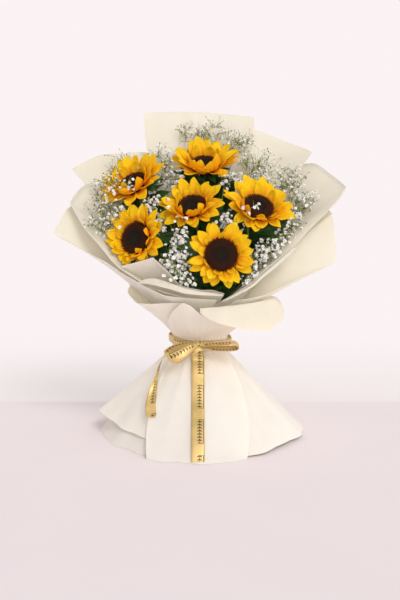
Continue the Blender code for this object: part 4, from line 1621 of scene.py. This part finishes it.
def outside_wrap(point, wrap, margin=0.004):
    """Whether a sheet of the wrap stands between the bunch's axis and the point."""
    axis = Vector((0.0, 0.0, max(BAND_TOP + 0.03, point.z - 0.12)))
    return meets(wrap, axis, point, margin)


def crosses(wrap, points):
    """Whether the line through the points passes through a sheet of the wrap."""
    return any(meets(wrap, start, end, 0.0008) for start, end in zip(points, points[1:]))


BLOOM_PLACES = [
    (bloom_frame(centre, facing).inverted(), upright)
    for centre, facing, _, upright, _, _ in BLOOMS.values()
]


def blocked(point, margin):
    """Whether the point lies in the space of a bloom's disc or petals."""
    for place, upright in BLOOM_PLACES:
        local = place @ point
        radius = math.hypot(local.x, local.y)
        if radius > BLOOM_RADIUS + margin:
            continue
        rise = max(0.0, radius - DISC_RADIUS) * math.tan(0.15 + 0.55 * upright)
        if -0.020 - margin < local.z < 0.008 + rise + margin:
            return True
    return False


PETAL_OUTLINE = (
    (0.0, 0.08, 0.20, 0.34, 0.46, 0.58, 0.70, 0.82, 0.92, 1.0),
    (0.42, 0.60, 0.84, 0.98, 1.00, 0.96, 0.85, 0.63, 0.35, 0.03),
)


def petal_grid(length, width, start_angle, end_angle, cup, twist, ripple, phase):
    """A petal as rows along it and columns across, rising from local X towards local Z."""
    rows, columns = 13, 9
    along = np.linspace(0, 1, rows)
    half = 0.5 * width * np.interp(along, *PETAL_OUTLINE)
    angle = start_angle + (end_angle - start_angle) * along**1.2
    step = length / (rows - 1)
    x = np.concatenate([[0], np.cumsum(np.cos(angle[1:]) * step)])
    z = np.concatenate([[0], np.cumsum(np.sin(angle[1:]) * step)])
    shares = np.linspace(-1, 1, columns)
    lean = twist * along
    grid = np.zeros((rows, columns, 3))
    for j, share in enumerate(shares):
        side = share * half
        hollow = cup * half * (share**2 - 0.35) * np.clip(1.4 - along, 0, 1)
        ridge = 0.00045 * np.cos(share * 3 * math.pi) * np.sin(math.pi * along)
        edge = ripple * abs(share) ** 3 * np.sin(along * 9 + phase + 2 * share) * half
        lift = hollow + ridge + edge
        grid[:, j, 0] = x - np.sin(angle) * lift
        grid[:, j, 1] = side * np.cos(lean)
        grid[:, j, 2] = z + np.cos(angle) * lift + side * np.sin(lean)
    marks = np.repeat(along[:, None], columns, axis=1)
    sides = np.repeat(shares[None, :], rows, axis=0)
    return grid, marks, sides


def build_petals(key, place, upright, share, disc_share, wrap, sizes, finishes):
    """Three layers of petals round the disc. The petals above it are longer, and many of those
    below it curl up at their tips. A petal that would leave the wrap is bent up and shortened."""
    rng = random.Random("petals " + key)
    batch = Batch()
    # How many petals, how long, how high their roots, how steep they start and how far they bend
    layers = (
        (sizes.back_petals, 1.00, -0.0024, 0.06, -0.24),
        (sizes.front_petals, 0.90, 0.0002, 0.34, -0.02),
        (INNER_PETALS, 0.60, 0.0012, 0.74, 0.70),
    )
    for layer, (count, size, root_height, lift, end) in enumerate(layers):
        spin = rng.uniform(0, 6.3)
        for i in range(count):
            azimuth = spin + 2 * math.pi * i / count + rng.uniform(-0.19, 0.19)
            above = math.sin(azimuth)
            length = sizes.petal_length * share * size * rng.uniform(0.84, 1.10)
            length *= 1 + 0.07 * above
            width = sizes.petal_width * share**0.7 * rng.uniform(0.86, 1.16)
            width *= 1.0 if layer < 2 else 0.76
            start = lift * 0.7 + upright * 0.85 + rng.uniform(-0.14, 0.16)
            tip = start + end + rng.uniform(-0.42, 0.32)
            if layer > 0 and above < -0.25 and rng.random() < 0.65:
                tip += rng.uniform(0.3, 0.9)
            shape = (
                rng.uniform(0.15, 0.62),
                rng.uniform(-0.45, 0.45),
                rng.uniform(0.04, 0.17),
                rng.uniform(0, 6.3),
            )
            side_bend = rng.uniform(-0.11, 0.11) * length
            turn = place @ Matrix.Rotation(azimuth, 4, "Z")
            for _ in range(PETAL_TRIES):
                grid, marks, sides = petal_grid(length, width, start, tip, *shape)
                grid[..., 1] += side_bend * marks**2
                grid[..., 0] += DISC_RADIUS * PETAL_ROOT * disc_share
                grid[..., 2] += root_height
                grid = moved(turn, grid)
                outer = grid[5:, ::4].reshape(-1, 3)
                if not any(outside_wrap(Vector(p), wrap, 0.001) for p in outer):
                    break
                start += 0.10
                tip += 0.30
                length *= 0.93
            batch.add_grid(grid, marks, sides)
    name = f"sunflower_{key}_ray_petals"
    piece = link_piece(name, batch.mesh(name), finishes, [f"sunflower_{key}_petals"])
    thicken(piece, PETAL_THICKNESS, 1)


def turned_grid(outline, spokes):
    """An outline of radius and height, turned round local Z."""
    turns = [2 * math.pi * k / spokes for k in range(spokes + 1)]
    return np.array([[(r * math.cos(a), r * math.sin(a), h) for a in turns] for r, h in outline])


def dome(share):
    """Height of the disc, from its middle at 0 to its edge at 1."""
    return 0.0042 + 0.0030 * math.sin(math.pi * min(share, 1.0) ** 1.3) - 0.0022 * share**6


def disc_floret(centre, top, half_width, point_height, turn):
    """Points and faces of one floret of the disc: a tapered prism with a point on it."""
    sides = DISC_FLORET_SIDES
    points = []
    for ring_centre, radius in ((centre, half_width), (top, half_width * 0.62)):
        for k in range(sides):
            angle = 2 * math.pi * k / sides + turn
            points.append(ring_centre + Vector((math.cos(angle), math.sin(angle), 0)) * radius)
    points.append(top + Vector((0, 0, point_height)))
    faces = [(k, (k + 1) % sides, sides + (k + 1) % sides, sides + k) for k in range(sides)]
    faces += [(sides + k, sides + (k + 1) % sides, 2 * sides) for k in range(sides)]
    return np.array([tuple(p) for p in points]), faces


def build_disc(key, place, disc_share, sizes, finish):
    """The disc: florets in spiral order on a low dome that dips in the middle."""
    rng = random.Random("disc " + key)
    batch = Batch()
    disc_radius = DISC_RADIUS * disc_share
    shares = np.linspace(0.02, 1.0, DISC_RINGS + 1)
    outline = [(disc_radius * share, dome(share)) for share in shares]
    outline[-1] = (disc_radius, dome(1.0) - DISC_RIM)
    batch.add_grid(moved(place, turned_grid(outline, 40)), shares[:, None])
    count = sizes.florets
    half_width = 0.47 * disc_radius * math.sqrt(math.pi / count)
    for i in range(count):
        share = math.sqrt((i + 0.6) / count)
        angle = i * GOLDEN_ANGLE
        tall = 0.0007 if share < 0.34 else 0.0012 if share < 0.70 else 0.0024
        tall *= rng.uniform(0.7, 1.3)
        lean = 0.10 * share + (0.35 if share > 0.86 else 0.0)
        outward = Vector((math.cos(angle), math.sin(angle), 0.0))
        centre = outward * disc_radius * share + Vector((0, 0, dome(share) - 0.0003))
        top = centre + outward * lean * tall + Vector((0, 0, tall))
        points, faces = disc_floret(centre, top, half_width, tall * 0.45, i)
        tone = rng.uniform(0.75, 1.0)
        tones = [0.0] * DISC_FLORET_SIDES + [0.8 * tone] * DISC_FLORET_SIDES + [tone]
        batch.add([tuple(p) for p in moved(place, points)], faces, share, tones)
    name = f"sunflower_{key}_florets"
    link_piece(name, batch.mesh(name), [finish], [f"sunflower_{key}_disc"])


def swept(start, leaving, tie, above, steps):
    """A smooth sweep from start, first along "leaving", that comes into the tie from "above"."""
    run = (start - tie).length
    first = start + leaving * (0.22 * run)
    last = tie + above * run
    path = []
    for i in range(steps + 1):
        t = i / steps
        path.append(
            (1 - t) ** 3 * start
            + 3 * t * (1 - t) ** 2 * first
            + 3 * t**2 * (1 - t) * last
            + t**3 * tie
        )
    return path


def below_tie(azimuth, ring, foot_ring, radius, steps):
    """The stem from the foot of the tie down to the cut end standing on the floor."""
    slant = (foot_ring - ring) / BAND_FOOT
    top = polar(azimuth, ring, BAND_FOOT)
    foot = polar(azimuth, foot_ring, radius * slant / math.hypot(1, slant) + 0.0002)
    return [top.lerp(foot, i / steps) for i in range(steps + 1)]


def stem_path(place, tie_azimuth):
    """The stem's middle line, from the bloom down to the cut end. The stem without an azimuth at
    the tie is the middle one."""
    ring = STEM_RING if tie_azimuth is not None else 0.0
    azimuth = tie_azimuth or 0
    top = place @ Vector((0, 0, -0.012))
    leaving = -(place.to_3x3() @ Vector((0, 0, 1)))
    tie = polar(azimuth, ring, BAND_TOP)
    path = swept(top, leaving, tie, Vector((0, 0, 0.42)), STEM_STEPS)
    return path + below_tie(azimuth, ring, STEM_FOOT_RING if ring else 0.0, STEM_RADIUS, 6)


LEAF_OUTLINE = (
    (0.0, 0.10, 0.15, 0.24, 0.34, 0.46, 0.58, 0.70, 0.82, 0.92, 1.0),
    (0.05, 0.06, 0.42, 0.90, 1.00, 0.94, 0.80, 0.60, 0.36, 0.16, 0.0),
)

# How far the teeth of a leaf's edge stand out and in, as shares of its half width
TOOTH_OUT = 0.09
TOOTH_IN = 0.05

# Radius and height of the cup under the disc, from the stem up
CUP_OUTLINE = (
    (0.0052, -0.0170),
    (0.0110, -0.0140),
    (0.0190, -0.0080),
    (0.0235, -0.0022),
    (0.0200, 0.0006),
)

# Half widths that a large leaf is tried with, as shares of its length, until it stays inside
LEAF_HALF_WIDTHS = (0.37, 0.34, 0.30, 0.26, 0.22, 0.18)


def leaf_grid(root, tip, share, rng):
    """A pointed oval leaf on a short stalk, with toothed and waved edges, arched along its rib."""
    along = tip - root
    outward = Vector((root.x + tip.x, root.y + tip.y - 0.10, 0.08)).normalized()
    side = along.cross(outward).normalized()
    face = side.cross(along).normalized()
    if face.z < 0:
        face = -face
    half_width = share * along.length
    rows, columns = 25, 11
    grid = np.zeros((rows, columns, 3))
    marks = np.zeros((rows, columns))
    sides = np.zeros((rows, columns))
    phase = rng.uniform(0, 6.3)
    for i in range(rows):
        t = i / (rows - 1)
        width = np.interp(t, *LEAF_OUTLINE) * half_width
        tooth = 1.0 + (TOOTH_OUT if i % 2 else -TOOTH_IN) * (0.15 < t < 0.95)
        middle = root + along * t + face * 0.10 * along.length * math.sin(math.pi * t)
        for j in range(columns):
            s = -1 + 2 * j / (columns - 1)
            reach = s * width * (tooth if abs(s) > 0.9 else 1.0)
            rise = 0.22 * abs(s) * width + 0.05 * width * math.sin(11 * t + 3 * s + phase) * abs(s)
            quilt = 0.02 * width * math.sin(26 * t - 6 * abs(s))
            grid[i, j] = middle + side * reach + face * (rise + quilt)
            marks[i, j] = t
            sides[i, j] = s
    return grid, marks, sides


def leaf_inside(grid, root, wrap):
    """Whether no sheet of the wrap stands between the leaf's root and the rest of it."""
    return not any(crosses(wrap, (root, Vector(p))) for p in grid[4::3, ::5].reshape(-1, 3))


def build_green(key, place, tie_azimuth, wrap, sizes, finishes):
    """Stem, cup of bracts and leaves of one sunflower."""
    rng = random.Random("green " + key)
    batch = Batch()
    path = stem_path(place, tie_azimuth)
    radii = [STEM_RADIUS * min(1.0, 0.70 + 0.012 * i) for i in range(len(path))]
    tube_into(batch, path, radii, 12, slot=1)
    batch.add_grid(moved(place, turned_grid(CUP_OUTLINE, 20)), 0.5, 0.5, 1)
    for layer, count in enumerate((11, 9)):
        for i in range(count):
            angle = 2 * math.pi * (i + 0.5 * layer) / count + rng.uniform(-0.1, 0.1)
            length = rng.uniform(0.024, 0.030) - 0.003 * layer
            bract, marks, sides = petal_grid(
                length, 0.0105, 0.30, rng.uniform(-0.7, 0.1), 0.3, 0.0, 0.05, rng.uniform(0, 6)
            )
            bract[..., 0] += 0.0165 - 0.003 * layer
            bract[..., 2] += -0.0095 - 0.0022 * layer
            batch.add_grid(moved(place @ Matrix.Rotation(angle, 4, "Z"), bract), marks, sides)
    for share, tip in LEAVES[key]:
        root = path[round((1 - share) * STEM_STEPS)]
        tip = Vector(tip)
        for half_width in LEAF_HALF_WIDTHS:
            leaf = leaf_grid(root, tip, half_width, rng)
            if leaf_inside(leaf[0], root, wrap):
                batch.add_grid(*leaf)
                break
            tip = Vector((tip.x * 0.93, tip.y * 0.93, tip.z + 0.002))
    for i in range(sizes.small_leaves):
        share = 0.34 + 0.60 * (i + rng.uniform(0, 0.8)) / sizes.small_leaves
        root = path[round((1 - share) * STEM_STEPS)]
        turn = i * GOLDEN_ANGLE + rng.uniform(-0.5, 0.5)
        length = rng.uniform(0.048, 0.080)
        reach = Vector((math.cos(turn), math.sin(turn), rng.uniform(-0.05, 0.75))).normalized()
        tip = root + reach * length
        if any(blocked(root.lerp(tip, k / 5), 0.007) for k in (2, 3, 4, 5)):
            continue
        leaf = leaf_grid(root, tip, rng.uniform(0.26, 0.34), rng)
        if not outside_wrap(tip, wrap) and leaf_inside(leaf[0], root, wrap):
            batch.add_grid(*leaf)
    name = f"sunflower_{key}_green"
    link_piece(name, batch.mesh(name), finishes, [f"sunflower_{key}_stem"])


class BOUQUET_OT_sunflowers(bpy.types.Operator):
    """Build the six sunflowers: petals, disc florets, stems, bracts and leaves"""

    bl_idname = "bouquet.sunflowers"
    bl_label = "Sunflowers"

    def execute(self, context):
        sizes = context.scene.bouquet_sunflower
        petals = (
            # Partly painted shade: the petals' backs take the deeper orange of their shaded
            # undersides.
            petal_finish("petal back", sizes.petal_back, sizes.petal_root),
            petal_finish("petal face", sizes.petal_tip, sizes.petal_root),
        )
        disc = disc_finish("sunflower disc")
        leaf = leaf_finish("sunflower leaf", sizes.leaf)
        stem = stem_finish("sunflower stem", tuple(1.9 * c for c in sizes.leaf))
        wrap = wrap_tree()
        for key, (centre, facing, tie_azimuth, upright, share, disc_share) in BLOOMS.items():
            place = bloom_frame(centre, facing)
            build_petals(key, place, upright, share, disc_share, wrap, sizes, petals)
            build_disc(key, place, disc_share, sizes, disc)
            build_green(key, place, tie_azimuth, wrap, sizes, (leaf, stem))
        return {"FINISHED"}


# The gypsophila


CLOUD_EDGE = 1.35
FLORET_TRIES = 30
FORK_TRIES = 10
SPRAY_STEPS = 22
BRANCHING_STEPS = 18
LAST_FORK = 5
TWIG_MARKS = (0.0, 0.2, 0.5, 0.8)
NARROW_LEAF_RADII = (0.0005, 0.00045, 0.0001)

# Rings of a floret's petals: how many, how long, how steep, and how high over the cup
FLORET_RINGS = ((6, 0.50, 0.35, 0.0), (5, 0.42, 0.85, 0.10), (4, 0.28, 1.25, 0.16))

BUD_POINTS = ((1, 0, 0), (0, 1, 0), (-1, 0, 0), (0, -1, 0), (0, 0, 1.3), (0, 0, -1.3))
BUD_FACES = [(k, (k + 1) % 4, 4) for k in range(4)] + [((k + 1) % 4, k, 5) for k in range(4)]


def add_floret(batch, centre, axis, size, rng):
    """A small double flower: three rings of pointed petals over a green cup."""
    turn = axis.to_track_quat("Z", "Y").to_matrix()
    rise = Vector((0, 0, 1))
    points = []
    faces = []
    depth = []
    for count, reach, angle, lift in FLORET_RINGS:
        spin = rng.uniform(0, 6.3)
        for k in range(count):
            about = spin + 2 * math.pi * (k + rng.uniform(-0.15, 0.15)) / count
            out = Vector((math.cos(about), math.sin(about), 0.0))
            side = Vector((-math.sin(about), math.cos(about), 0.0))
            tilt = angle + rng.uniform(-0.25, 0.25)
            ahead = out * math.cos(tilt) + rise * math.sin(tilt)
            length = reach * size * rng.uniform(0.85, 1.15)
            half = length * 0.55
            root = rise * lift * size
            start = len(points)
            points += [
                root,
                root + ahead * length * 0.75 - side * half,
                root + ahead * length,
                root + ahead * length * 0.75 + side * half,
            ]
            depth += [0.1, 0.8, 1.0, 0.8]
            faces += [(start, start + 1, start + 2), (start, start + 2, start + 3)]
    placed = [centre + turn @ p for p in points]
    batch.add(placed, faces, depth)
    cup = []
    for radius, height in ((0.05, -0.28), (0.15, -0.02)):
        for k in range(4):
            about = math.pi * k / 2
            spot = Vector((radius * math.cos(about), radius * math.sin(about), height))
            cup.append(centre + turn @ spot * size)
    cup_faces = [(k, (k + 1) % 4, 4 + (k + 1) % 4, 4 + k) for k in range(4)]
    batch.add(cup, cup_faces, 0.3, slot=1)


def add_bud(batch, centre, size, white):
    """A closed bud, as a small eight-sided bead."""
    points = [centre + Vector(point) * size for point in BUD_POINTS]
    batch.add(points, BUD_FACES, 1.0, slot=0 if white else 2)


def twig_into(batch, path, radii, marks):
    """A three-sided twig along the points, with a radius and a mark for each of them."""
    first = [mark for mark in marks for _ in range(3)]
    tube_into(batch, path, radii, 3, first, slot=1, cap=False)


def cloud_points(middle, half_sizes, count, gap, wrap, taken, rng):
    """Places for the florets of one cloud, clear of the blooms, the wrap and one another. They
    lie thickest in the cloud's middle."""
    found = []
    for _ in range(count * FLORET_TRIES):
        if len(found) == count:
            break
        spot = Vector([rng.gauss(0, 0.50) for _ in range(3)])
        if spot.length > CLOUD_EDGE:
            continue
        point = middle + Vector([s * h for s, h in zip(spot, half_sizes)])
        if blocked(point, 0.002) or outside_wrap(point, wrap):
            continue
        if wrap.find_nearest(point)[3] < gap:
            continue
        if any((point - other).length < FLORET_GAP for other in taken):
            continue
        found.append(point)
        taken.append(point)
    return found


def fork_place(middle, half_sizes, wrap):
    """Where the twigs of a cloud fork: under its middle, and inside the wrap."""
    fork = middle - Vector((middle.x * 0.10, middle.y * 0.10, 0.9 * half_sizes[2]))
    inner = Vector((middle.x * 0.60, middle.y * 0.60, middle.z))
    for _ in range(FORK_TRIES):
        if not outside_wrap(fork, wrap, 0.003):
            break
        fork = fork.lerp(inner, 0.20)
    return fork


def add_branch(batch, path, fork, wrap, twig_radius):
    """The branch from the spray's stem to the fork. Gives the first anchors, the places where
    twigs may start, each with the number of forks before it."""
    joints = path[:BRANCHING_STEPS]
    clear = [place for place in joints if not crosses(wrap, (place, fork))] or joints[-2:]
    joint = min(clear, key=lambda p: (p - fork).length + (0.05 if p.z > fork.z else 0.0))
    middle = joint.lerp(fork, 0.5) + Vector((0, 0, -0.003))
    radii = [share * twig_radius for share in (2.6, 2.34, 1.95)]
    tube_into(batch, [joint, middle, fork], radii, 4, slot=1, cap=False)
    return [(fork, 0), (middle, 0)]


def add_twig(batch, anchors, target, wrap, twig_radius, rng):
    """A bent twig from the handiest anchor to the target, which it gives two more anchors. Gives
    the twig's way, or None where a sheet of the wrap stands in it."""

    def cost(anchor):
        down = 0.02 if target.z - anchor[0].z < -0.004 else 0.0
        return (target - anchor[0]).length * (1.0 + 0.12 * anchor[1]) + down

    root, depth = min(anchors, key=cost)
    way = target - root
    bow = Vector((rng.uniform(-1, 1), rng.uniform(-1, 1), 0.6)).normalized()
    bow *= way.length * 0.10
    knee = root + way * 0.55 + bow
    elbow = root.lerp(knee, 0.6) + bow * 0.25
    if crosses(wrap, (root, elbow, knee, target)):
        return None
    thick = twig_radius * (1.9, 1.4, 1.0)[min(depth, 2)]
    thin = twig_radius * 0.8
    radii = [thick, thick * 0.9, max(thin, thick * 0.8), thin]
    twig_into(batch, [root, elbow, knee, target], radii, TWIG_MARKS)
    if depth < LAST_FORK:
        anchors += [(knee, depth + 1), (elbow, depth + 1)]
    return way


def add_narrow_leaves(batch, anchors, count, wrap, rng):
    """Narrow leaves that start at random anchors and point mostly up."""
    for _ in range(count):
        root = rng.choice(anchors)[0]
        way = Vector((rng.gauss(0, 1), rng.gauss(-0.2, 1), rng.gauss(0.7, 1))).normalized()
        tip = root + way * rng.uniform(0.009, 0.022)
        middle = root.lerp(tip, 0.5) + Vector((0, 0, 0.0015))
        if blocked(middle, 0.001) or blocked(tip, 0.001) or crosses(wrap, (root, middle, tip)):
            continue
        twig_into(batch, [root, middle, tip], NARROW_LEAF_RADII, (0.0, 0.2, 0.4))


def add_over_rim(batch, anchors, target, crest_height, sizes, rng):
    """A floret that leans out over the rim on a twig that climbs to the crest before it."""
    target = Vector(target)
    crest = Vector((target.x * 0.90, target.y * 0.90, crest_height))
    root = min((place for place, _ in anchors), key=lambda p: (p - crest).length)
    elbow = root.lerp(crest, 0.6) + Vector((0, 0, 0.001))
    radii = [share * sizes.twig_radius for share in (1.4, 1.2, 1.0, 0.8)]
    twig_into(batch, [root, elbow, crest, target], radii, TWIG_MARKS)
    add_floret(batch, target, Vector((0, -0.8, 0.6)), sizes.floret_size * 0.80, rng)


def build_spray(key, tie_azimuth, clouds, wrap, sizes, finishes):
    """One spray: its stem, and twigs that fork out to the florets and buds of its clouds."""
    rng = random.Random("gypsophila " + key)
    batch = Batch()
    tie = polar(tie_azimuth, SPRAY_RING, BAND_TOP)
    main = Vector(clouds[0][0])
    low = Vector((main.x * 0.86, main.y * 0.86, main.z - 0.9 * clouds[0][1][2]))
    leaving = Vector((-main.x * 1.2, -main.y * 1.2, -main.z)).normalized()
    path = swept(low, leaving, tie, polar(tie_azimuth, 0.035, 0.30), SPRAY_STEPS)
    stem = path + below_tie(tie_azimuth, SPRAY_RING, SPRAY_FOOT_RING, SPRAY_STEM_RADIUS, 4)
    radii = [SPRAY_STEM_RADIUS * min(1.0, 0.42 + 0.05 * i) for i in range(len(stem))]
    tube_into(batch, stem, radii, 6, slot=1)

    taken = []
    for middle, half_sizes, florets, buds, size in clouds:
        florets = round(florets * sizes.fullness)
        count = florets + round(buds * sizes.fullness)
        middle = Vector(middle)
        gap = RIM_SPRAY_GAP if key in OVER_RIM else SHEET_GAP
        targets = cloud_points(middle, half_sizes, count, gap, wrap, taken, rng)
        fork = fork_place(middle, half_sizes, wrap)
        anchors = add_branch(batch, path, fork, wrap, sizes.twig_radius)
        open_share = florets / max(1, count)
        for target in sorted(targets, key=lambda p: (p - fork).length):
            way = add_twig(batch, anchors, target, wrap, sizes.twig_radius, rng)
            if way is None:
                continue
            if rng.random() < open_share:
                facing = way.normalized() + Vector((0, -0.5, 0.5))
                facing += Vector([rng.gauss(0, 0.35) for _ in range(3)])
                width = sizes.floret_size * size * rng.uniform(0.78, 1.18)
                add_floret(batch, target, facing.normalized(), width, rng)
            else:
                add_bud(batch, target, rng.uniform(0.0007, 0.0013), rng.random() < 0.35)
        add_narrow_leaves(batch, anchors, round(sizes.leaves * count), wrap, rng)
    for target, crest_height in OVER_RIM.get(key, ()):
        add_over_rim(batch, anchors, target, crest_height, sizes, rng)
    name = f"gypsophila_{key}_cloud"
    link_piece(name, batch.mesh(name), finishes, [f"gypsophila_{key}"])


class BOUQUET_OT_gypsophila(bpy.types.Operator):
    """Build the ten sprays of gypsophila"""

    bl_idname = "bouquet.gypsophila"
    bl_label = "Gypsophila"

    def execute(self, context):
        sizes = context.scene.bouquet_gypsophila
        wrap = wrap_tree()
        finishes = (
            floret_finish("gypsophila floret", sizes.white),
            twig_finish("gypsophila twig", sizes.green),
            twig_finish("gypsophila bud", (0.19, 0.19, 0.07)),
        )
        for key, (tie_azimuth, clouds) in SPRAYS.items():
            build_spray(key, tie_azimuth, clouds, wrap, sizes, finishes)
        return {"FINISHED"}


# The stage


def stage_finish(sizes):
    """The floor in front of the bouquet, and beyond it the backdrop that shines like the sky."""
    finish = Finish("stage")
    place = finish.place()
    back = finish.part(place, "Y")
    beyond = finish.share(back, *BACKDROP_EDGE)
    rise = finish.share(back, *BACKDROP_RISE, "SMOOTHERSTEP")
    away = finish.node("ShaderNodeVectorMath", {0: place}, operation="LENGTH").outputs["Value"]
    far = finish.share(away, *FLOOR_FADE, "SMOOTHERSTEP")
    glow = finish.math("MAXIMUM", finish.math("MULTIPLY", rise, beyond), far)
    base = finish.mix(glow, finish.mix(beyond, sizes.floor, sizes.backdrop), (0.0, 0.0, 0.0))
    tone = finish.ramp(finish.noise(6.0, 3.0, 0.5, place), (0.3, 0.985), (0.7, 1.0))
    shader = finish.nodes["Principled BSDF"]
    finish.feed(shader.inputs["Emission Color"], sizes.surround)
    finish.feed(shader.inputs["Emission Strength"], glow)
    return finish.done(finish.shade(base, tone), {"Roughness": 0.9, "Specular IOR Level": 0.0})


class BOUQUET_OT_stage(bpy.types.Operator):
    """Build the floor, the soft lights and the camera"""

    bl_idname = "bouquet.stage"
    bl_label = "Stage"

    def execute(self, context):
        sizes = context.scene.bouquet_stage
        bm = bmesh.new()
        bmesh.ops.create_grid(bm, x_segments=40, y_segments=40, size=40.0)
        mesh = bpy.data.meshes.new("floor")
        bm.to_mesh(mesh)
        bm.free()
        mesh.materials.append(stage_finish(sizes))
        floor = bpy.data.objects.new("floor", mesh)
        context.scene.collection.objects.link(floor)

        studio = Finish("studio", bpy.data.worlds)
        above = tuple(sizes.overhead * c for c in sizes.surround)
        height = studio.part(studio.place("Generated"), "Z")
        sky = studio.ramp(height, (0.22, sizes.surround), (0.42, above))
        studio.feed(studio.nodes["Background"].inputs["Color"], sky)
        context.scene.world = studio.holder
        context.scene.view_settings.view_transform = "Standard"

        for name, aim, energy, spread, colour in (
            ("key", (-0.62, 1.25, -1.35), sizes.key, 24, (1.0, 0.98, 0.95)),
            ("fill", (-0.50, 1.0, -0.06), sizes.fill, 60, (1.0, 0.955, 0.885)),
        ):
            data = bpy.data.lights.new(name, "SUN")
            data.energy = energy
            data.angle = math.radians(spread)
            data.color = colour
            light = bpy.data.objects.new(name, data)
            light.location = Vector(aim) * -1.5
            light.rotation_euler = Vector(aim).to_track_quat("-Z", "Y").to_euler()
            context.scene.collection.objects.link(light)

        data = bpy.data.cameras.new("camera")
        data.sensor_fit = "VERTICAL"
        data.sensor_height = SENSOR_HEIGHT
        data.lens = FOCAL_PIXELS * SENSOR_HEIGHT / PICTURE_PIXELS
        data.clip_start = 0.02
        data.clip_end = 50.0
        camera = bpy.data.objects.new("camera", data)
        camera.location = (0.0, -sizes.camera_distance, sizes.camera_height)
        camera.rotation_euler = (math.pi / 2 - sizes.camera_pitch, 0.0, 0.0)
        context.scene.collection.objects.link(camera)
        context.scene.camera = camera
        return {"FINISHED"}


class BOUQUET_PT_pieces(bpy.types.Panel):
    """Lists the bouquet's sizes and the buttons that build its pieces"""

    bl_idname = "BOUQUET_PT_pieces"
    bl_label = "Bouquet"
    bl_space_type = "VIEW_3D"
    bl_region_type = "UI"
    bl_category = "Bouquet"

    def draw(self, context):
        scene = context.scene
        for group, operators in (
            (scene.bouquet_paper, ("bouquet.wrap",)),
            (scene.bouquet_ribbon, ("bouquet.ribbon", "bouquet.twine")),
            (scene.bouquet_sunflower, ("bouquet.sunflowers",)),
            (scene.bouquet_gypsophila, ("bouquet.gypsophila",)),
            (scene.bouquet_stage, ("bouquet.stage",)),
        ):
            box = self.layout.box()
            for name in group.__annotations__:
                box.prop(group, name)
            for operator in operators:
                box.operator(operator)


GROUPS = {
    "bouquet_paper": PaperSizes,
    "bouquet_sunflower": SunflowerSizes,
    "bouquet_gypsophila": GypsophilaSizes,
    "bouquet_ribbon": RibbonSizes,
    "bouquet_stage": StageSizes,
}

OPERATORS = (
    BOUQUET_OT_stage,
    BOUQUET_OT_wrap,
    BOUQUET_OT_ribbon,
    BOUQUET_OT_twine,
    BOUQUET_OT_sunflowers,
    BOUQUET_OT_gypsophila,
)


def register():
    for name, group in GROUPS.items():
        bpy.utils.register_class(group)
        setattr(bpy.types.Scene, name, PointerProperty(type=group))
    for operator in OPERATORS:
        bpy.utils.register_class(operator)
    bpy.utils.register_class(BOUQUET_PT_pieces)


def unregister():
    bpy.utils.unregister_class(BOUQUET_PT_pieces)
    for operator in reversed(OPERATORS):
        bpy.utils.unregister_class(operator)
    for name, group in reversed(list(GROUPS.items())):
        delattr(bpy.types.Scene, name)
        bpy.utils.unregister_class(group)


def main():
    register()
    bpy.ops.bouquet.stage()
    bpy.ops.bouquet.wrap()
    bpy.ops.bouquet.ribbon()
    bpy.ops.bouquet.twine()
    bpy.ops.bouquet.sunflowers()
    bpy.ops.bouquet.gypsophila()
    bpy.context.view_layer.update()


if __name__ == "__main__":
    main()
